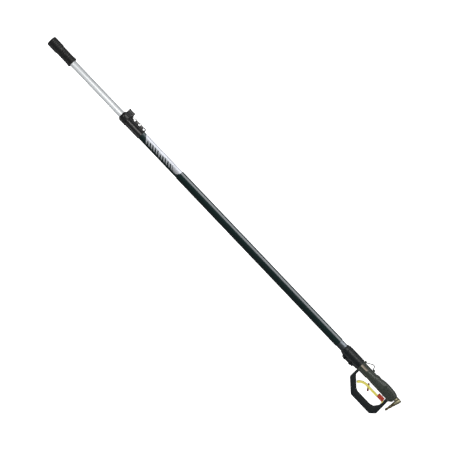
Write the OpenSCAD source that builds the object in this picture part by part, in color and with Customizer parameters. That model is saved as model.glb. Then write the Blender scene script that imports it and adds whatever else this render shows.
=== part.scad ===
// Telescoping spray lance with an in-line trigger gun, lying on its side.
// +X runs towards the nozzle, +Y towards the hand guard and +Z up off the floor. Millimetres.
// The modules work from the rear of the gun body, on the poles' axis: place() moves the whole lance
// so that its origin is on the floor, under the middle of its box.

/* [Poles] */
// Outside diameter of the lower pole
outer_d = 31.75; // [31:0.25:33]
// Wall of the lower pole
outer_wall = 1.5; // [1.2:0.1:2]
// Length of the lower pole
outer_len = 1200; // [900:10:1500]
// Outside diameter of the sliding pole
inner_d = 25.4; // [24:0.1:26]
// Wall of the sliding pole
inner_wall = 1.5; // [1.2:0.1:2]
// Length of the sliding pole that shows, as set
bare_len = 256; // [150:1:400]
// Gap left between nozzle guard and collar when the pole is pushed in
shut_gap = 7; // [4:1:20]
// Gap left below the sliding pole when it is pushed in
stow_gap = 137; // [20:1:200]
// Length of sliding pole that stays inside at full reach
held_len = 86; // [60:1:150]
// Bare stretch of lower pole above the gun clamp
bare_low = 27; // [0:1:60]
// Outside diameter of the pole cover
sleeve_d = 35; // [34:0.1:38]
// Length of the label
label_len = 198; // [100:1:250]
// Thickness of the label
label_t = 0.25; // [0.1:0.05:0.5]

/* [Gun body] */
// Length of the body, rear wall to gun clamp
body_len = 174.6; // [165:0.2:200]
// Radius of the body's rounded top and bottom
body_r = 22.1; // [21.5:0.1:24]
// Height of that radius' centre, negative is up
body_axis_y = -3.1; // [-5:0.1:-2.5]
// Half the width across the body's flat sides
body_half_w = 19; // [18.8:0.1:21]
// Radius of the neck
neck_r = 18.6; // [17.5:0.1:18.7]
// Where the neck starts
neck_x = 105; // [100:1:110]
// Wall of the shells
shell_wall = 2.8; // [2:0.1:3.2]
// Length of the spigot that the gun clamp grips
spigot_len = 11.4; // [8:0.2:20]
// Half the width of the hand guard
guard_half_w = 13; // [11:0.5:16]
// Radius on the guard's outer corners
guard_round = 9; // [4:0.5:12]
// Height of the floor inside the body
floor_y = 12; // [11.8:0.1:12.2]
// Depth of the finger groove under the body
groove_depth = 4; // [3.8:0.1:4.4]

/* [Trigger] */
// Width of the trigger
trigger_w = 14; // [10:0.5:14]
// Thickness of the trigger's finger band
trigger_t = 9.6; // [7:0.1:10]
// Width of the trigger's tongue, under the block
tongue_w = 10; // [8:0.5:10]
// Width of the trigger block
block_w = 15; // [13:0.5:15]
// Diameter of the trigger's hinge pin
trigger_pin_d = 3; // [2.5:0.1:3.5]
// Length of the safety latch
latch_len = 30; // [24:0.5:31]
// Width of the safety latch, seen from the side
latch_w = 7; // [5:0.5:7]
// Thickness of the safety latch
latch_t = 5.5; // [4:0.5:5.5]
// Diameter of the latch's hinge pin
latch_pin_d = 2.5; // [2:0.1:3]

/* [Valve] */
// Diameter of the valve ball
ball_d = 8; // [7:0.1:8.6]
// Bore of the valve seat and of the passage below it
seat_bore = 6; // [5.5:0.1:6.2]
// Diameter of the valve chamber
chamber_d = 13; // [12:0.1:13.2]
// Diameter of the push pin
push_pin_d = 4; // [3:0.1:4.2]
// Half the width of the valve block
block_half_w = 10; // [9:0.5:11]
// Outside diameter of the supply pipe
supply_d = 10; // [8:0.1:10]
// Wall of the supply pipe
supply_wall = 1.5; // [1:0.1:2]
// Outside diameter of the jet pipe
jet_d = 16; // [14:0.1:17]
// Wall of the jet pipe
jet_wall = 2; // [1.2:0.1:2.4]
// Wire diameter of the valve spring
spring_wire = 0.9; // [0.6:0.05:1]
// Turns of the valve spring
spring_turns = 4.5; // [3:0.5:5]

/* [Inlet] */
// Height of the inlet's axis, negative is up
inlet_y = -7.6; // [-8:0.1:-7.2]
// Distance from the rear wall back to the elbow's corner
elbow_x = 15; // [14.5:0.5:20]
// Radius of the elbow at its closed end
elbow_r = 9; // [8.6:0.1:11]
// Lean of the hose plug towards the gun, in degrees
plug_lean = 10; // [0:1:12]
// Distance from the inlet's axis to the plug's tip
plug_reach = 56.5; // [50:0.5:70]
// Diameter of the plug's nose
plug_nose_d = 9; // [8:0.1:9.4]
// Length of the plug's nose that a coupling seals on
plug_nose_len = 10; // [8:0.5:14]

/* [Gun clamp] */
// Length of the gun clamp
gun_clamp_len = 82.8; // [74:0.2:110]
// Radius of the gun clamp
gun_clamp_r = 21.6; // [20.5:0.1:24]
// Length of its tapered mouth
gun_clamp_taper = 12.6; // [6:0.2:18]
// Half the thickness of its flange
gun_flange_half = 11.8; // [11:0.1:14]
// Distance from the axis to the flange's edge
gun_flange_reach = 29; // [28:0.2:34]
// Distance from the axis to the bolts
gun_bolt_y = 22.7; // [22.4:0.1:24]

/* [Pole clamp] */
// Length of the split sleeve
clamp_len = 70.2; // [66:0.2:90]
// Radius of the split sleeve
clamp_r = 18.2; // [17.6:0.1:18.6]
// Length of the collar
collar_len = 32.4; // [31:0.2:40]
// Radius of the collar
collar_r = 20.2; // [19:0.1:20.2]
// Length of the collar's tapered mouth
collar_taper = 8; // [6:0.2:12]
// Half the thickness of the flange
pole_flange_half = 9.2; // [9:0.1:11]
// Distance from the axis to the flange's edge
pole_flange_reach = 26.6; // [26:0.2:30]
// Distance from the axis to the bolts
pole_bolt_y = 20; // [19.9:0.1:21]
// Distance from the axis to the cam lever's pin
cam_pin_y = 31; // [30:0.2:33]
// Diameter of the cam lever's pin
cam_pin_d = 5; // [3.5:0.1:6]
// Thickness of the ears beside the cam
ear_t = 5; // [4:0.2:6]
// Radius of the ears round the pin
ear_r = 6.5; // [5.5:0.1:7]
// Thickness of the cam lever's arm
lever_t = 3.4; // [2.4:0.1:4]
// How far off centre the cam is turned
cam_throw = 0.8; // [0.4:0.1:1]

/* [Nozzle end] */
// Length of the nozzle guard
guard_len = 113.4; // [105:0.2:140]
// Diameter of the nozzle guard
tip_d = 38; // [34:0.2:39]
// Diameter of its thicker front
tip_front_d = 39.5; // [36:0.1:42]
// Length of its thicker front
tip_front_len = 43; // [30:1:50]
// Bore of the recess in front of the nozzle
recess_d = 22; // [20:0.5:26]
// Depth of that recess
recess_len = 16; // [10:0.5:20]
// Length of sliding pole that the guard grips
tip_grip_len = 30; // [20:1:40]

/* [Strap loop] */
// Wire of the strap loop
loop_wire = 3.5; // [2.5:0.1:3.8]
// Distance from the poles' axis to the loop's hinge line
loop_y = 21.2; // [21.2:0.1:23]
// Height of the loop above its hinge line
loop_h = 12.8; // [10:0.2:14]

/* [Fasteners and fits] */
// Thread of the shell screws
screw_d = 3; // [2.5:0.1:3]
// Thread of the clamp bolts
bolt_d = 5; // [4:0.1:5]
// Diameter of the clamp bolts' heads
bolt_head_d = 8; // [7:0.1:8.4]
// Height of the clamp bolts' heads
bolt_head_h = 3.2; // [2:0.1:5]
// Clearance all round a part that turns or slides on a round one
run_gap = 0.05; // [0.02:0.01:0.1]
// Gap between faces that pass each other
side_gap = 0.4; // [0.3:0.1:0.8]

/* [Hidden] */
$fn = 64;
big = 400;

// Stations along the poles
outer_r = outer_d / 2;
outer_bore = outer_r - outer_wall;
inner_r = inner_d / 2;
inner_bore = inner_r - inner_wall;
pole_x0 = body_len + spigot_len;
pole_x1 = pole_x0 + outer_len;
gun_clamp_x1 = body_len + gun_clamp_len;
clamp_x0 = pole_x1 - clamp_len;
label_x0 = clamp_x0 - label_len;
sleeve_x0 = gun_clamp_x1 + bare_low;
collar_x1 = pole_x1 + collar_len;
tip_x0 = collar_x1 + bare_len;
tip_x1 = tip_x0 + guard_len;
end_plug_len = 12;
inner_x1 = tip_x0 + tip_grip_len;
inner_x0 = pole_x0 + end_plug_len + bare_len - shut_gap + stow_gap;
carrier_len = 30;
supply_r = supply_d / 2;
supply_x1 = pole_x1 - held_len + carrier_len;
jet_x0 = inner_x0 + 0.6 * carrier_len;
seal_x = [inner_x0 + 5, inner_x0 + 11];

// Outline of the gun body, seen from the side: the top from the rear forwards, then the heel
body_top = [[0, -15.5], [10, -21.5], [35, -26], [58, -26], [73, -24], [85, -20.8], [97, -23],
    [neck_x + 3, -19.4], [neck_x + 7, -19.4]];
body_heel = [[neck_x + 7, 20], [12, 20], [0, 7]];

// Outline of the hand guard and of the opening that the fingers go through
guard_top = 5;
guard_x1 = 170;
guard_outer = [[12.6, guard_top], [guard_x1, guard_top], [guard_x1, 55], [120.6, 98], [27.7, 98], [9.7, 80]];
guard_inner = [[21.6, guard_top - 1], [162.7, guard_top - 1], [162, 34], [125, 67], [113.4, 71.6],
    [48.6, 71.6], [33.5, 67], [21.6, 49]];
guard_bottom = 98;
guard_core = [[56, 77], [97, 77], [97, 92.5], [56, 92.5]];

// Screws through the shells, clear of the valve, the pipe and the trigger
screw_places = [[80, -13], [126, -12], [126, 10.4], [13, 8.4], [19.5, 60], [45, 85], [108, 84], [143, 64.7]];
screw_r = screw_d / 2;
screw_head_r = 2.8;
screw_head_h = 2.2;
screw_seat_z = -9.5;
screw_tip_z = 9.8;
boss_r = 4.6;
screw_slot = [2.4, 0.6];

// Trigger: hinge, band, and the curve down to its free end
pivot = [17.5, 40];
pivot_r = 4;
band_y = 33.3;
band_x0 = 52;
band_x1 = 108;
curl_r = 34.6;
curl_angle = 54;
block_x0 = 25.5;
block_top = 20.5;
block_bottom = 37;
tongue_top = 28;
tongue_bottom = 36.5;
trigger_pin_half = 11;
slot_gap = side_gap;
latch_pivot = [96, 35];
latch_angle = -53;
latch_slot = [79, 113];
latch_pocket = [93, 113];
latch_roof = 8.5;
latch_round = 1.5;
tongue_x0 = 26;
tongue_half_end = 2.8;
band_lap = 1;

// Rooms that the trigger, its block and its latch move in
pocket_y = [14.5, 24];
room_y1 = 30;
groove_run = 20;
leg_slot = [[19, 27.5], [room_y1, 22], [room_y1, 46]];

// Valve, on the push pin's axis, which crosses the pipe's
pin_x = 38;
seat_y0 = -5;
seat_y1 = -2.5;
ball_r = ball_d / 2;
seat_r = seat_bore / 2;
ball_y = seat_y0 - sqrt(ball_r * ball_r - seat_r * seat_r) - run_gap;
valve_top = -18.4;
valve_bottom = 8;
valve_x = [22, 56];
port_r = 9;
port_x0 = 8;
outlet_x = [54, 70];
rib_x = [27, 48];
supply_x0 = 58;
gland_r = 4.5;
gland_y0 = 6;
gland_y1 = floor_y;
gland_head_y = 14.2;
gland_head_r = 6.9;
push_r = push_pin_d / 2;
seal_wire = 1.1;
washer_t = 0.8;
lip_h = 0.4;
outlet_bore = seat_r - 0.6;
pin_gap = 0.4;
plug_slot = 1.6;
plug_head_r = 7.4;
plug_head_h = 1.5;
plug_skirt_y = -15.5;
spring_r = 3;
spring_y0 = valve_top - lip_h + spring_wire / 2 + run_gap;
spring_y1 = ball_y - sqrt(pow(ball_r + spring_wire / 2, 2) - spring_r * spring_r) - side_gap;

// Inlet: stations run backwards from the rear wall
stub_r = 7;
stub_tail_r = 5;
stub_tail_x = 20;
stub_bore = 3;
stub_x0 = -3;
face_groove_r = [3.7, 5.6];
face_groove_depth = 1.2;
face_seal_r = 4.65;
face_seal_wire = 1.4;
nut_x = [-7, -0.6];
nut_r = 9.4;
nut_room = stub_r - 0.4;
flange_x = [stub_x0 - 1.6, stub_x0 - 0.3];
tail_r = 4.5;
swivel_bore = 2.6;
boot_r = 7.2;
leg_bore = 3;
elbow_chamfer = 2;
boot_len = 17;
plug_r = 7;
plug_step = 9;
lower_cone_len = 12;
plug_insert_r = plug_r - 2;
plug_collar_len = 4;
plug_neck_len = 4;
plug_neck_cut = 0.8;
plug_tip_len = 2;
plug_tip_cut = 1.4;

// Gun clamp's flange and bolts
gun_bolt_x = [204.5 - body_len, 232 - body_len];
gun_flange_x = [18, 67.4];
gun_flange_run = 7;
gun_flange_root = 15;
gun_mouth_wall = 1.4;
slit = 2;
nut_h = 4;
nut_corner_r = 4.6;
socket_r = 2.3;
socket_depth = 1.6;

// Pole clamp's flange, bolts, ears and window
pole_bolt_x = [8.2, 30.6, 53.6];
pole_flange_x = [4, 58];
ear_x0 = pole_x1;
cam_x = [ear_x0 + ear_t + side_gap, ear_x0 + 27 - ear_t - side_gap];
ear_x1 = ear_x0 + 27;
cam_r = ear_r - 0.3;
cam_reach = cam_r + cam_throw;
shoe_x = [cam_x[0] + 1.4, cam_x[1] - 2.4];
shoe_half_w = 4.4;
shoe_top = cam_pin_y - cam_reach - 0.15;
bush_x = [pole_x1 + 0.2, collar_x1 - 4.4];
pole_flange_root = 14;
pole_rib = [10, 1];
pole_rib_half = 2;
ear_root = [-16, 9];
lever_web = [[-20, 12], [-cam_pin_y + 4.5, 4.2]];
lever_r0 = collar_r + side_gap;
lever_lip = 0.7 * lever_t;
lever_from = 40;
lever_to = 160;
mouth_r = 15.5;

// Nozzle end
holder_x0 = inner_x1 - 40;
holder_flange = 8;
web_x0 = inner_x1 + holder_flange;
web_r = 9;
nozzle_x1 = tip_x1 - recess_len - 1.8;
nozzle_thread_r = 5;
nozzle_thread_len = 10;
nozzle_hex_r = 6.9;
nozzle_hex_len = 14;
nozzle_jet_r = 0.6;
nozzle_jet_len = 4;
fan_depth = 2;
fan_half = 1.6;
holder_x1 = web_x0 + 30;
jet_x1 = holder_x0 + 20;
tip_lip = 2.5;
tip_rim = [3, 9, 12];
tip_waist = 1;
tip_slope = 4;

// Strap loop: from its front foot, over the top and down to its rear foot
loop_r = loop_wire / 2;
leg_lap = 0.7;
leg_thinning = 0.1;
loop_line = [[171, -loop_y], [163.5, -loop_y], [142, -loop_y - loop_h], [134, -loop_y - loop_h],
    [129, -loop_y], [121, -loop_y]];
lug_x = [[164.5, 172], [120, 127.5]];
lug_r = 3.8;

// The box of the whole lance, which sets its origin
lance_x0 = -elbow_x - (elbow_r - elbow_chamfer) * sin(plug_lean) - elbow_r * cos(plug_lean);
lance_y0 = -cam_pin_y - ear_r;

module place() {
    translate([-(lance_x0 + tip_x1) / 2, -(lance_y0 + guard_bottom) / 2, gun_clamp_r]) children();
}

function unit(v) = v / norm(v);
function turned(v, a) = [v.x * cos(a) - v.y * sin(a), v.x * sin(a) + v.y * cos(a)];
function cross2(a, b) = a.x * b.y - a.y * b.x;
function arc(c, r, a0, a1, n) =
    [for (i = [0:n]) let(a = a0 + (a1 - a0) * i / n) c + r * [cos(a), sin(a)]];

// The points of a corner at q, between p and s, rounded to radius r
function corner(p, q, s, r, n) = let(
    a = unit(p - q),
    b = unit(s - q),
    open = acos(a * b),
    c = q + unit(a + b) * r / sin(open / 2),
    from = q + a * r / tan(open / 2) - c,
    way = cross2(a, b) > 0 ? -1 : 1)
    [for (i = [0:n]) c + turned(from, way * (180 - open) * i / n)];
function rounded(pts, r, n = 6) = let(k = len(pts))
    [for (i = [0:k - 1]) each corner(pts[(i + k - 1) % k], pts[i], pts[(i + 1) % k], r, n)];

// Solids of revolution and slabs, along each axis
module rod_x(x0, x1, r, y = 0) {
    translate([x0, y, 0]) rotate([0, 90, 0]) cylinder(h = x1 - x0, r = r);
}
module cone_x(x0, x1, r0, r1, y = 0) {
    translate([x0, y, 0]) rotate([0, 90, 0]) cylinder(h = x1 - x0, r1 = r0, r2 = r1);
}
module rod_y(y0, y1, r, x) {
    translate([x, y0, 0]) rotate([-90, 0, 0]) cylinder(h = y1 - y0, r = r);
}
module rod_z(z0, z1, r, at) {
    translate([at.x, at.y, z0]) cylinder(h = z1 - z0, r = r);
}
module pipe_x(x0, x1, r, bore, y = 0) {
    difference() {
        rod_x(x0, x1, r, y);
        rod_x(x0 - 1, x1 + 1, bore, y);
    }
}
module turned_x(profile) {
    rotate([0, 90, 0]) rotate_extrude() polygon(profile);
}
module slab(pts, half_w) {
    translate([0, 0, -half_w]) linear_extrude(2 * half_w) polygon(pts);
}
module block(x, y, half_w) {
    translate([x[0], y[0], -half_w]) cube([x[1] - x[0], y[1] - y[0], 2 * half_w]);
}
module o_ring_x(x, ring_r, wire, y = 0) {
    translate([x, y, 0]) rotate([0, 90, 0]) rotate_extrude() translate([ring_r, 0]) circle(wire / 2);
}

// ---- Gun body: two shells cut from one form ----
function body_outline(inset) = concat(
    [for (p = body_top) [max(p.x, inset), p.y + inset]],
    [for (p = body_heel) [max(p.x, inset), p.y - inset]]);
module body_form(inset) {
    intersection() {
        slab(body_outline(inset), body_half_w - inset);
        rod_x(0, body_len, body_r - inset, body_axis_y);
    }
    rod_x(neck_x, body_len - inset, neck_r - inset);
}
module guard_form() {
    difference() {
        slab(rounded(guard_outer, guard_round), guard_half_w);
        slab(rounded(guard_inner, shell_wall), guard_half_w + 1);
    }
}
module lug(x) {
    rod_x(x[0], x[1], lug_r, -loop_y);
    block(x, [-loop_y, -neck_r + 1], lug_r);
}
module screw_bosses() {
    for (at = screw_places) rod_z(-big, big, boss_r, at);
}
module body_room() {
    difference() {
        body_form(shell_wall);
        block([0, body_len], [floor_y, floor_y + big], body_r);
        block([latch_pocket[0] - shell_wall, latch_pocket[1] + shell_wall],
            [latch_roof - 2, floor_y + 1], body_r);
        for (x = rib_x) difference() {
            block([x, x + shell_wall], [valve_top, valve_bottom], body_r);
            block([x - 1, x + shell_wall + 1], [valve_top - 1, valve_bottom + 1], block_half_w);
        }
        screw_bosses();
    }
    difference() {
        slab(guard_core, guard_half_w - shell_wall);
        screw_bosses();
    }
}
module trigger_room() {
    half = block_w / 2 + side_gap * 2;
    block([pivot.x + 3, band_x0 + 3], pocket_y, half);
    block([band_x0, band_x1 + groove_run], [body_r + body_axis_y - groove_depth, room_y1],
        trigger_w / 2 + side_gap);
    block(latch_pocket, [latch_roof, room_y1], latch_t / 2 + side_gap * 3);
    rod_z(-tongue_w / 2 - slot_gap, tongue_w / 2 + slot_gap, pivot_r + side_gap, pivot);
    slab([[pivot.x - pivot_r - side_gap, pivot.y - 2], each leg_slot,
        [pivot.x, pivot.y + pivot_r + side_gap]], tongue_w / 2 + slot_gap);
}
module gun_form() {
    difference() {
        union() {
            body_form(0);
            guard_form();
            for (x = lug_x) lug(x);
            rod_x(body_len - 1, pole_x0, outer_r);
        }
        body_room();
        trigger_room();
        rod_x(-1, port_x0, stub_r, inlet_y);
        rod_x(body_len - 2 * shell_wall, pole_x0 + 1, supply_r);
        rod_y(floor_y - 1, floor_y + 4, gland_head_r + side_gap, pin_x);
        rod_z(-trigger_pin_half, trigger_pin_half, trigger_pin_d / 2, pivot);
        rod_x(loop_line[1].x, loop_line[0].x + side_gap, loop_r + run_gap, -loop_y);
        rod_x(loop_line[5].x - side_gap, loop_line[4].x, loop_r + run_gap, -loop_y);
    }
}
module half(side) {
    intersection() {
        gun_form();
        translate([-big, -big, side > 0 ? 0 : -big]) cube([3 * big, 2 * big, big]);
    }
}
module left_shell() {
    color("#28322f") difference() {
        half(1);
        for (at = screw_places) rod_z(-1, screw_tip_z, screw_r, at);
    }
}
module right_shell() {
    color("#28322f") difference() {
        half(-1);
        for (at = screw_places) {
            rod_z(screw_seat_z - 1, 1, screw_r, at);
            rod_z(-big, screw_seat_z, screw_head_r + side_gap / 2, at);
        }
    }
}
module housing_screws() {
    color("#8c8f92") for (at = screw_places) difference() {
        union() {
            rod_z(screw_seat_z, screw_tip_z, screw_r, at);
            rod_z(screw_seat_z - screw_head_h, screw_seat_z, screw_head_r, at);
        }
        for (turn = [0, 90]) translate([at.x, at.y, screw_seat_z - screw_head_h]) rotate(turn)
            cube([screw_slot.x, screw_slot.y, screw_slot.x], center = true);
    }
}

// ---- Trigger, its block, its latch and their pins ----
module trigger() {
    curl_c = [band_x1, band_y + curl_r];
    half_t = trigger_t / 2;
    tip_c = curl_c + turned([0, -curl_r], curl_angle);
    color("#e3d75c") difference() {
        union() {
            slab(concat([[band_x0, band_y - half_t]],
                arc(curl_c, curl_r + half_t, -90, curl_angle - 90, 12),
                arc(tip_c, half_t, curl_angle - 90, curl_angle + 90, 8),
                arc(curl_c, curl_r - half_t, curl_angle - 90, -90, 12),
                [[band_x0, band_y + half_t]]), trigger_w / 2);
            slab([pivot - tongue_half_end * [1, 1], [tongue_x0, tongue_top], [band_x0 + band_lap, tongue_top],
                [band_x0 + band_lap, tongue_bottom], [tongue_x0, tongue_bottom],
                pivot + tongue_half_end * [1, 1]], tongue_w / 2);
            rod_z(-tongue_w / 2, tongue_w / 2, pivot_r, pivot);
        }
        rod_z(-trigger_w, trigger_w, trigger_pin_d / 2 + run_gap, pivot);
        block(latch_slot, [band_y - trigger_t, band_y + 2 * trigger_t], latch_t / 2 + 0.3);
        rod_z(-trigger_w / 2 - 1, trigger_w / 2 + 1, latch_pin_d / 2, latch_pivot);
    }
}
module trigger_block() {
    color("#a3341c") difference() {
        block([block_x0, band_x0], [block_top, block_bottom], block_w / 2);
        block([block_x0 - 1, band_x0 + 1], [tongue_top, block_bottom + 1], tongue_w / 2);
    }
}
module trigger_pin() {
    color("#9a9da0") rod_z(-trigger_pin_half, trigger_pin_half, trigger_pin_d / 2, pivot);
}
module safety_latch() {
    bar = latch_len / 2;
    half = latch_w / 2;
    color("#6a1a14") difference() {
        translate([latch_pivot.x, latch_pivot.y, 0]) rotate(latch_angle)
            slab(rounded([[-bar, -half], [bar, -half], [bar, half], [-bar, half]], latch_round), latch_t / 2);
        rod_z(-latch_t, latch_t, latch_pin_d / 2 + run_gap, latch_pivot);
    }
}
module latch_pin() {
    color("#9a9da0") rod_z(-trigger_w / 2, trigger_w / 2, latch_pin_d / 2, latch_pivot);
}

// ---- Strap loop: feet and top at full wire size, and two sloping legs drawn thinner by bending ----
module strap_loop() {
    last = len(loop_line) - 2;
    color("#737b7e") for (i = [0:last]) {
        run = loop_line[i + 1] - loop_line[i];
        leans = i % 2 == 1;
        translate([loop_line[i].x, loop_line[i].y, 0]) rotate(atan2(run.y, run.x))
            if (leans) rod_x(-leg_lap, norm(run) + leg_lap, loop_r - leg_thinning);
            else rod_x(0, norm(run), loop_r);
    }
}

// ---- Shut-off valve ----
module valve_body() {
    color("#b79a55") difference() {
        union() {
            block(valve_x, [valve_top, valve_bottom], block_half_w);
            rod_x(port_x0, valve_x[0] + 1, port_r, inlet_y);
            rod_x(outlet_x[0], outlet_x[1], port_r - 1);
            rod_y(valve_bottom - 1, floor_y, port_r - 2, pin_x);
        }
        rod_y(valve_top - 1, seat_y1, chamber_d / 2, pin_x);
        rod_y(seat_y1 - 1, gland_y0 + 1, seat_r, pin_x);
        rod_y(gland_y0, floor_y + 1, gland_r, pin_x);
        rod_x(port_x0 - 1, stub_tail_x, stub_tail_r, inlet_y);
        rod_x(stub_tail_x - 1, pin_x, swivel_bore, inlet_y);
        rod_x(pin_x, supply_x0 + 1, outlet_bore);
        rod_x(supply_x0, outlet_x[1] + 1, supply_r);
    }
}
module valve_seat() {
    color("#d9dadb") difference() {
        rod_y(seat_y0, seat_y1, chamber_d / 2, pin_x);
        rod_y(seat_y0 - 1, seat_y1 + 1, seat_r, pin_x);
    }
}
module valve_ball() {
    color("#e6e8ea") translate([pin_x, ball_y, 0]) sphere(ball_r);
}
module valve_plug() {
    head_y = valve_top - washer_t;
    color("#b79a55") difference() {
        union() {
            rod_y(head_y, plug_skirt_y, chamber_d / 2, pin_x);
            rod_y(head_y - plug_head_h, head_y, plug_head_r, pin_x);
        }
        rod_y(valve_top - lip_h, plug_skirt_y + 1, spring_r + spring_wire, pin_x);
        translate([pin_x, head_y - plug_head_h, 0])
            cube([2 * plug_head_r + 1, plug_slot, plug_slot], center = true);
    }
}
module plug_washer() {
    color("#b5673a") difference() {
        rod_y(valve_top - washer_t, valve_top, plug_head_r, pin_x);
        rod_y(valve_top - washer_t - 1, valve_top + 1, chamber_d / 2, pin_x);
    }
}
// A helix of wire: rings of points along the coil, joined into one skin
module valve_spring() {
    sides = 8;
    steps = 16;
    rings = spring_turns * steps;
    rise = (spring_y1 - spring_y0) / rings;
    pts = [for (i = [0:rings]) let(a = 360 * i / steps, lift = spring_y0 + rise * i) for (j = [0:sides - 1])
        let(b = 360 * j / sides, out = spring_r + spring_wire / 2 * cos(b))
        [pin_x + out * cos(a), lift + spring_wire / 2 * sin(b), out * sin(a)]];
    skin = [for (i = [0:rings - 1]) for (j = [0:sides - 1])
        let(k = (j + 1) % sides, here = i * sides, next = here + sides)
        each [[here + j, next + j, next + k], [here + j, next + k, here + k]]];
    ends = [[for (j = [0:sides - 1]) j], [for (j = [sides - 1:-1:0]) rings * sides + j]];
    color("#a8abad") polyhedron(pts, concat(skin, ends));
}
module push_pin() {
    color("#c9ccce") {
        rod_y(ball_y + ball_r + pin_gap / 2, block_top - pin_gap - push_r, push_r, pin_x);
        translate([pin_x, block_top - pin_gap - push_r, 0]) sphere(push_r);
    }
}
module pin_seal() {
    color("#202020") translate([pin_x, gland_y0 + seal_wire, 0]) rotate([90, 0, 0]) rotate_extrude()
        translate([push_r + run_gap + seal_wire, 0]) circle(seal_wire);
}
module gland_nut() {
    seat = gland_y0 + 2 * seal_wire + run_gap;
    color("#b79a55") difference() {
        union() {
            rod_y(seat, gland_y1 + 1, gland_r, pin_x);
            translate([pin_x, gland_y1, 0]) rotate([-90, 0, 0])
                cylinder(h = gland_head_y - gland_y1, r = gland_head_r, $fn = 6);
        }
        rod_y(seat - 1, gland_head_y + 1, push_r + run_gap, pin_x);
    }
}
module supply_pipe() {
    color("#a9adb0") pipe_x(supply_x0, supply_x1, supply_r, supply_r - supply_wall);
}

// ---- Inlet: stub, captive nut, swivel elbow and hose plug ----
module inlet_stub() {
    color("#b09a5c") difference() {
        union() {
            rod_x(stub_x0, port_x0, stub_r, inlet_y);
            rod_x(port_x0 - 1, stub_tail_x, stub_tail_r, inlet_y);
        }
        rod_x(stub_x0 - 1, stub_tail_x + 1, stub_bore, inlet_y);
        difference() {
            rod_x(stub_x0 - 1, stub_x0 + face_groove_depth, face_groove_r[1], inlet_y);
            rod_x(stub_x0 - 2, stub_x0 + 2, face_groove_r[0], inlet_y);
        }
    }
}
module swivel_seal() {
    color("#202020") o_ring_x(stub_x0 + 0.45, face_seal_r, face_seal_wire, inlet_y);
}
module swivel_nut() {
    color("#bdb48c") difference() {
        translate([nut_x[0], inlet_y, 0]) rotate([0, 90, 0])
            cylinder(h = nut_x[1] - nut_x[0], r = nut_r, $fn = 6);
        rod_x(stub_x0, nut_x[1] + 1, stub_r, inlet_y);
        rod_x(flange_x[0] - 0.3, stub_x0 + 1, nut_room, inlet_y);
        rod_x(nut_x[0] - 1, stub_x0, tail_r + run_gap, inlet_y);
    }
}
// Along the leaning leg, from the elbow's corner
module leg(from, to, r0, r1) {
    translate([-elbow_x, inlet_y, 0]) rotate([-90, 0, -plug_lean])
        translate([0, 0, from]) cylinder(h = to - from, r1 = r0, r2 = r1);
}
module swivel_elbow() {
    color("#c4bf9d") difference() {
        union() {
            rod_x(flange_x[0], flange_x[1], nut_room - 0.3, inlet_y);
            rod_x(-elbow_x, flange_x[0] + 1, tail_r, inlet_y);
            difference() {
                union() {
                    leg(-elbow_r, elbow_chamfer - elbow_r, elbow_r - elbow_chamfer, elbow_r);
                    leg(elbow_chamfer - elbow_r, boot_len, elbow_r, boot_r);
                }
                rod_x(nut_x[0] - side_gap, 1, nut_r + side_gap, inlet_y);
            }
        }
        rod_x(-elbow_x, flange_x[1] + 1, swivel_bore, inlet_y);
        leg(-1, boot_len + 1, leg_bore, leg_bore);
        leg(plug_step, boot_len + 1, plug_insert_r, plug_insert_r);
    }
}
module hose_plug() {
    nose = plug_nose_d / 2;
    waist = nose + 1;
    tip = plug_reach - plug_tip_len;
    nose_at = tip - plug_nose_len;
    color("#6b5f3a") difference() {
        union() {
            leg(plug_step, boot_len + 1, plug_insert_r, plug_insert_r);
            leg(boot_len, boot_len + plug_collar_len, plug_r, plug_r);
            leg(boot_len + plug_collar_len, boot_len + lower_cone_len, plug_r, waist);
            leg(boot_len + lower_cone_len, nose_at - plug_neck_len, waist, waist);
            leg(nose_at - plug_neck_len, nose_at, nose - plug_neck_cut, nose - plug_neck_cut);
            leg(nose_at, tip, nose, nose);
            leg(tip, plug_reach, nose, nose - plug_tip_cut);
        }
        leg(plug_step - 1, plug_reach + 1, leg_bore, leg_bore);
    }
}

// ---- Gun clamp ----
module gun_clamp() {
    mid = gun_clamp_x1 - gun_clamp_taper;
    f0 = body_len + gun_flange_x[0];
    f1 = body_len + gun_flange_x[1];
    color("#1d2428") difference() {
        union() {
            rod_x(body_len, mid, gun_clamp_r);
            cone_x(mid, gun_clamp_x1, gun_clamp_r, outer_r + gun_mouth_wall);
            slab([[f0 - gun_flange_run, gun_flange_root], [f0, gun_flange_reach], [f1, gun_flange_reach],
                [f1 + gun_flange_run, gun_flange_root]], gun_flange_half);
        }
        rod_x(body_len - 1, gun_clamp_x1 + 1, outer_r);
        block([body_len - 1, gun_clamp_x1 + 1], [0, gun_flange_reach + 1], slit / 2);
        for (x = gun_bolt_x) rod_z(-big, big, bolt_d / 2, [body_len + x, gun_bolt_y]);
    }
}
module bolt(at, grip) {
    difference() {
        union() {
            rod_z(-grip - nut_h, grip, bolt_d / 2, at);
            rod_z(grip, grip + bolt_head_h, bolt_head_d / 2, at);
        }
        translate([at.x, at.y, grip + bolt_head_h - socket_depth]) cylinder(h = 2, r = socket_r, $fn = 6);
    }
}
module hex_nut(at, grip) {
    difference() {
        translate([at.x, at.y, -grip - nut_h]) cylinder(h = nut_h, r = nut_corner_r, $fn = 6);
        rod_z(-grip - nut_h - 1, grip, bolt_d / 2, at);
    }
}
module gun_clamp_bolts() {
    color("#33373a") for (x = gun_bolt_x) bolt([body_len + x, gun_bolt_y], gun_flange_half);
}
module gun_clamp_nuts() {
    color("#33373a") for (x = gun_bolt_x) hex_nut([body_len + x, gun_bolt_y], gun_flange_half);
}

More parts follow.
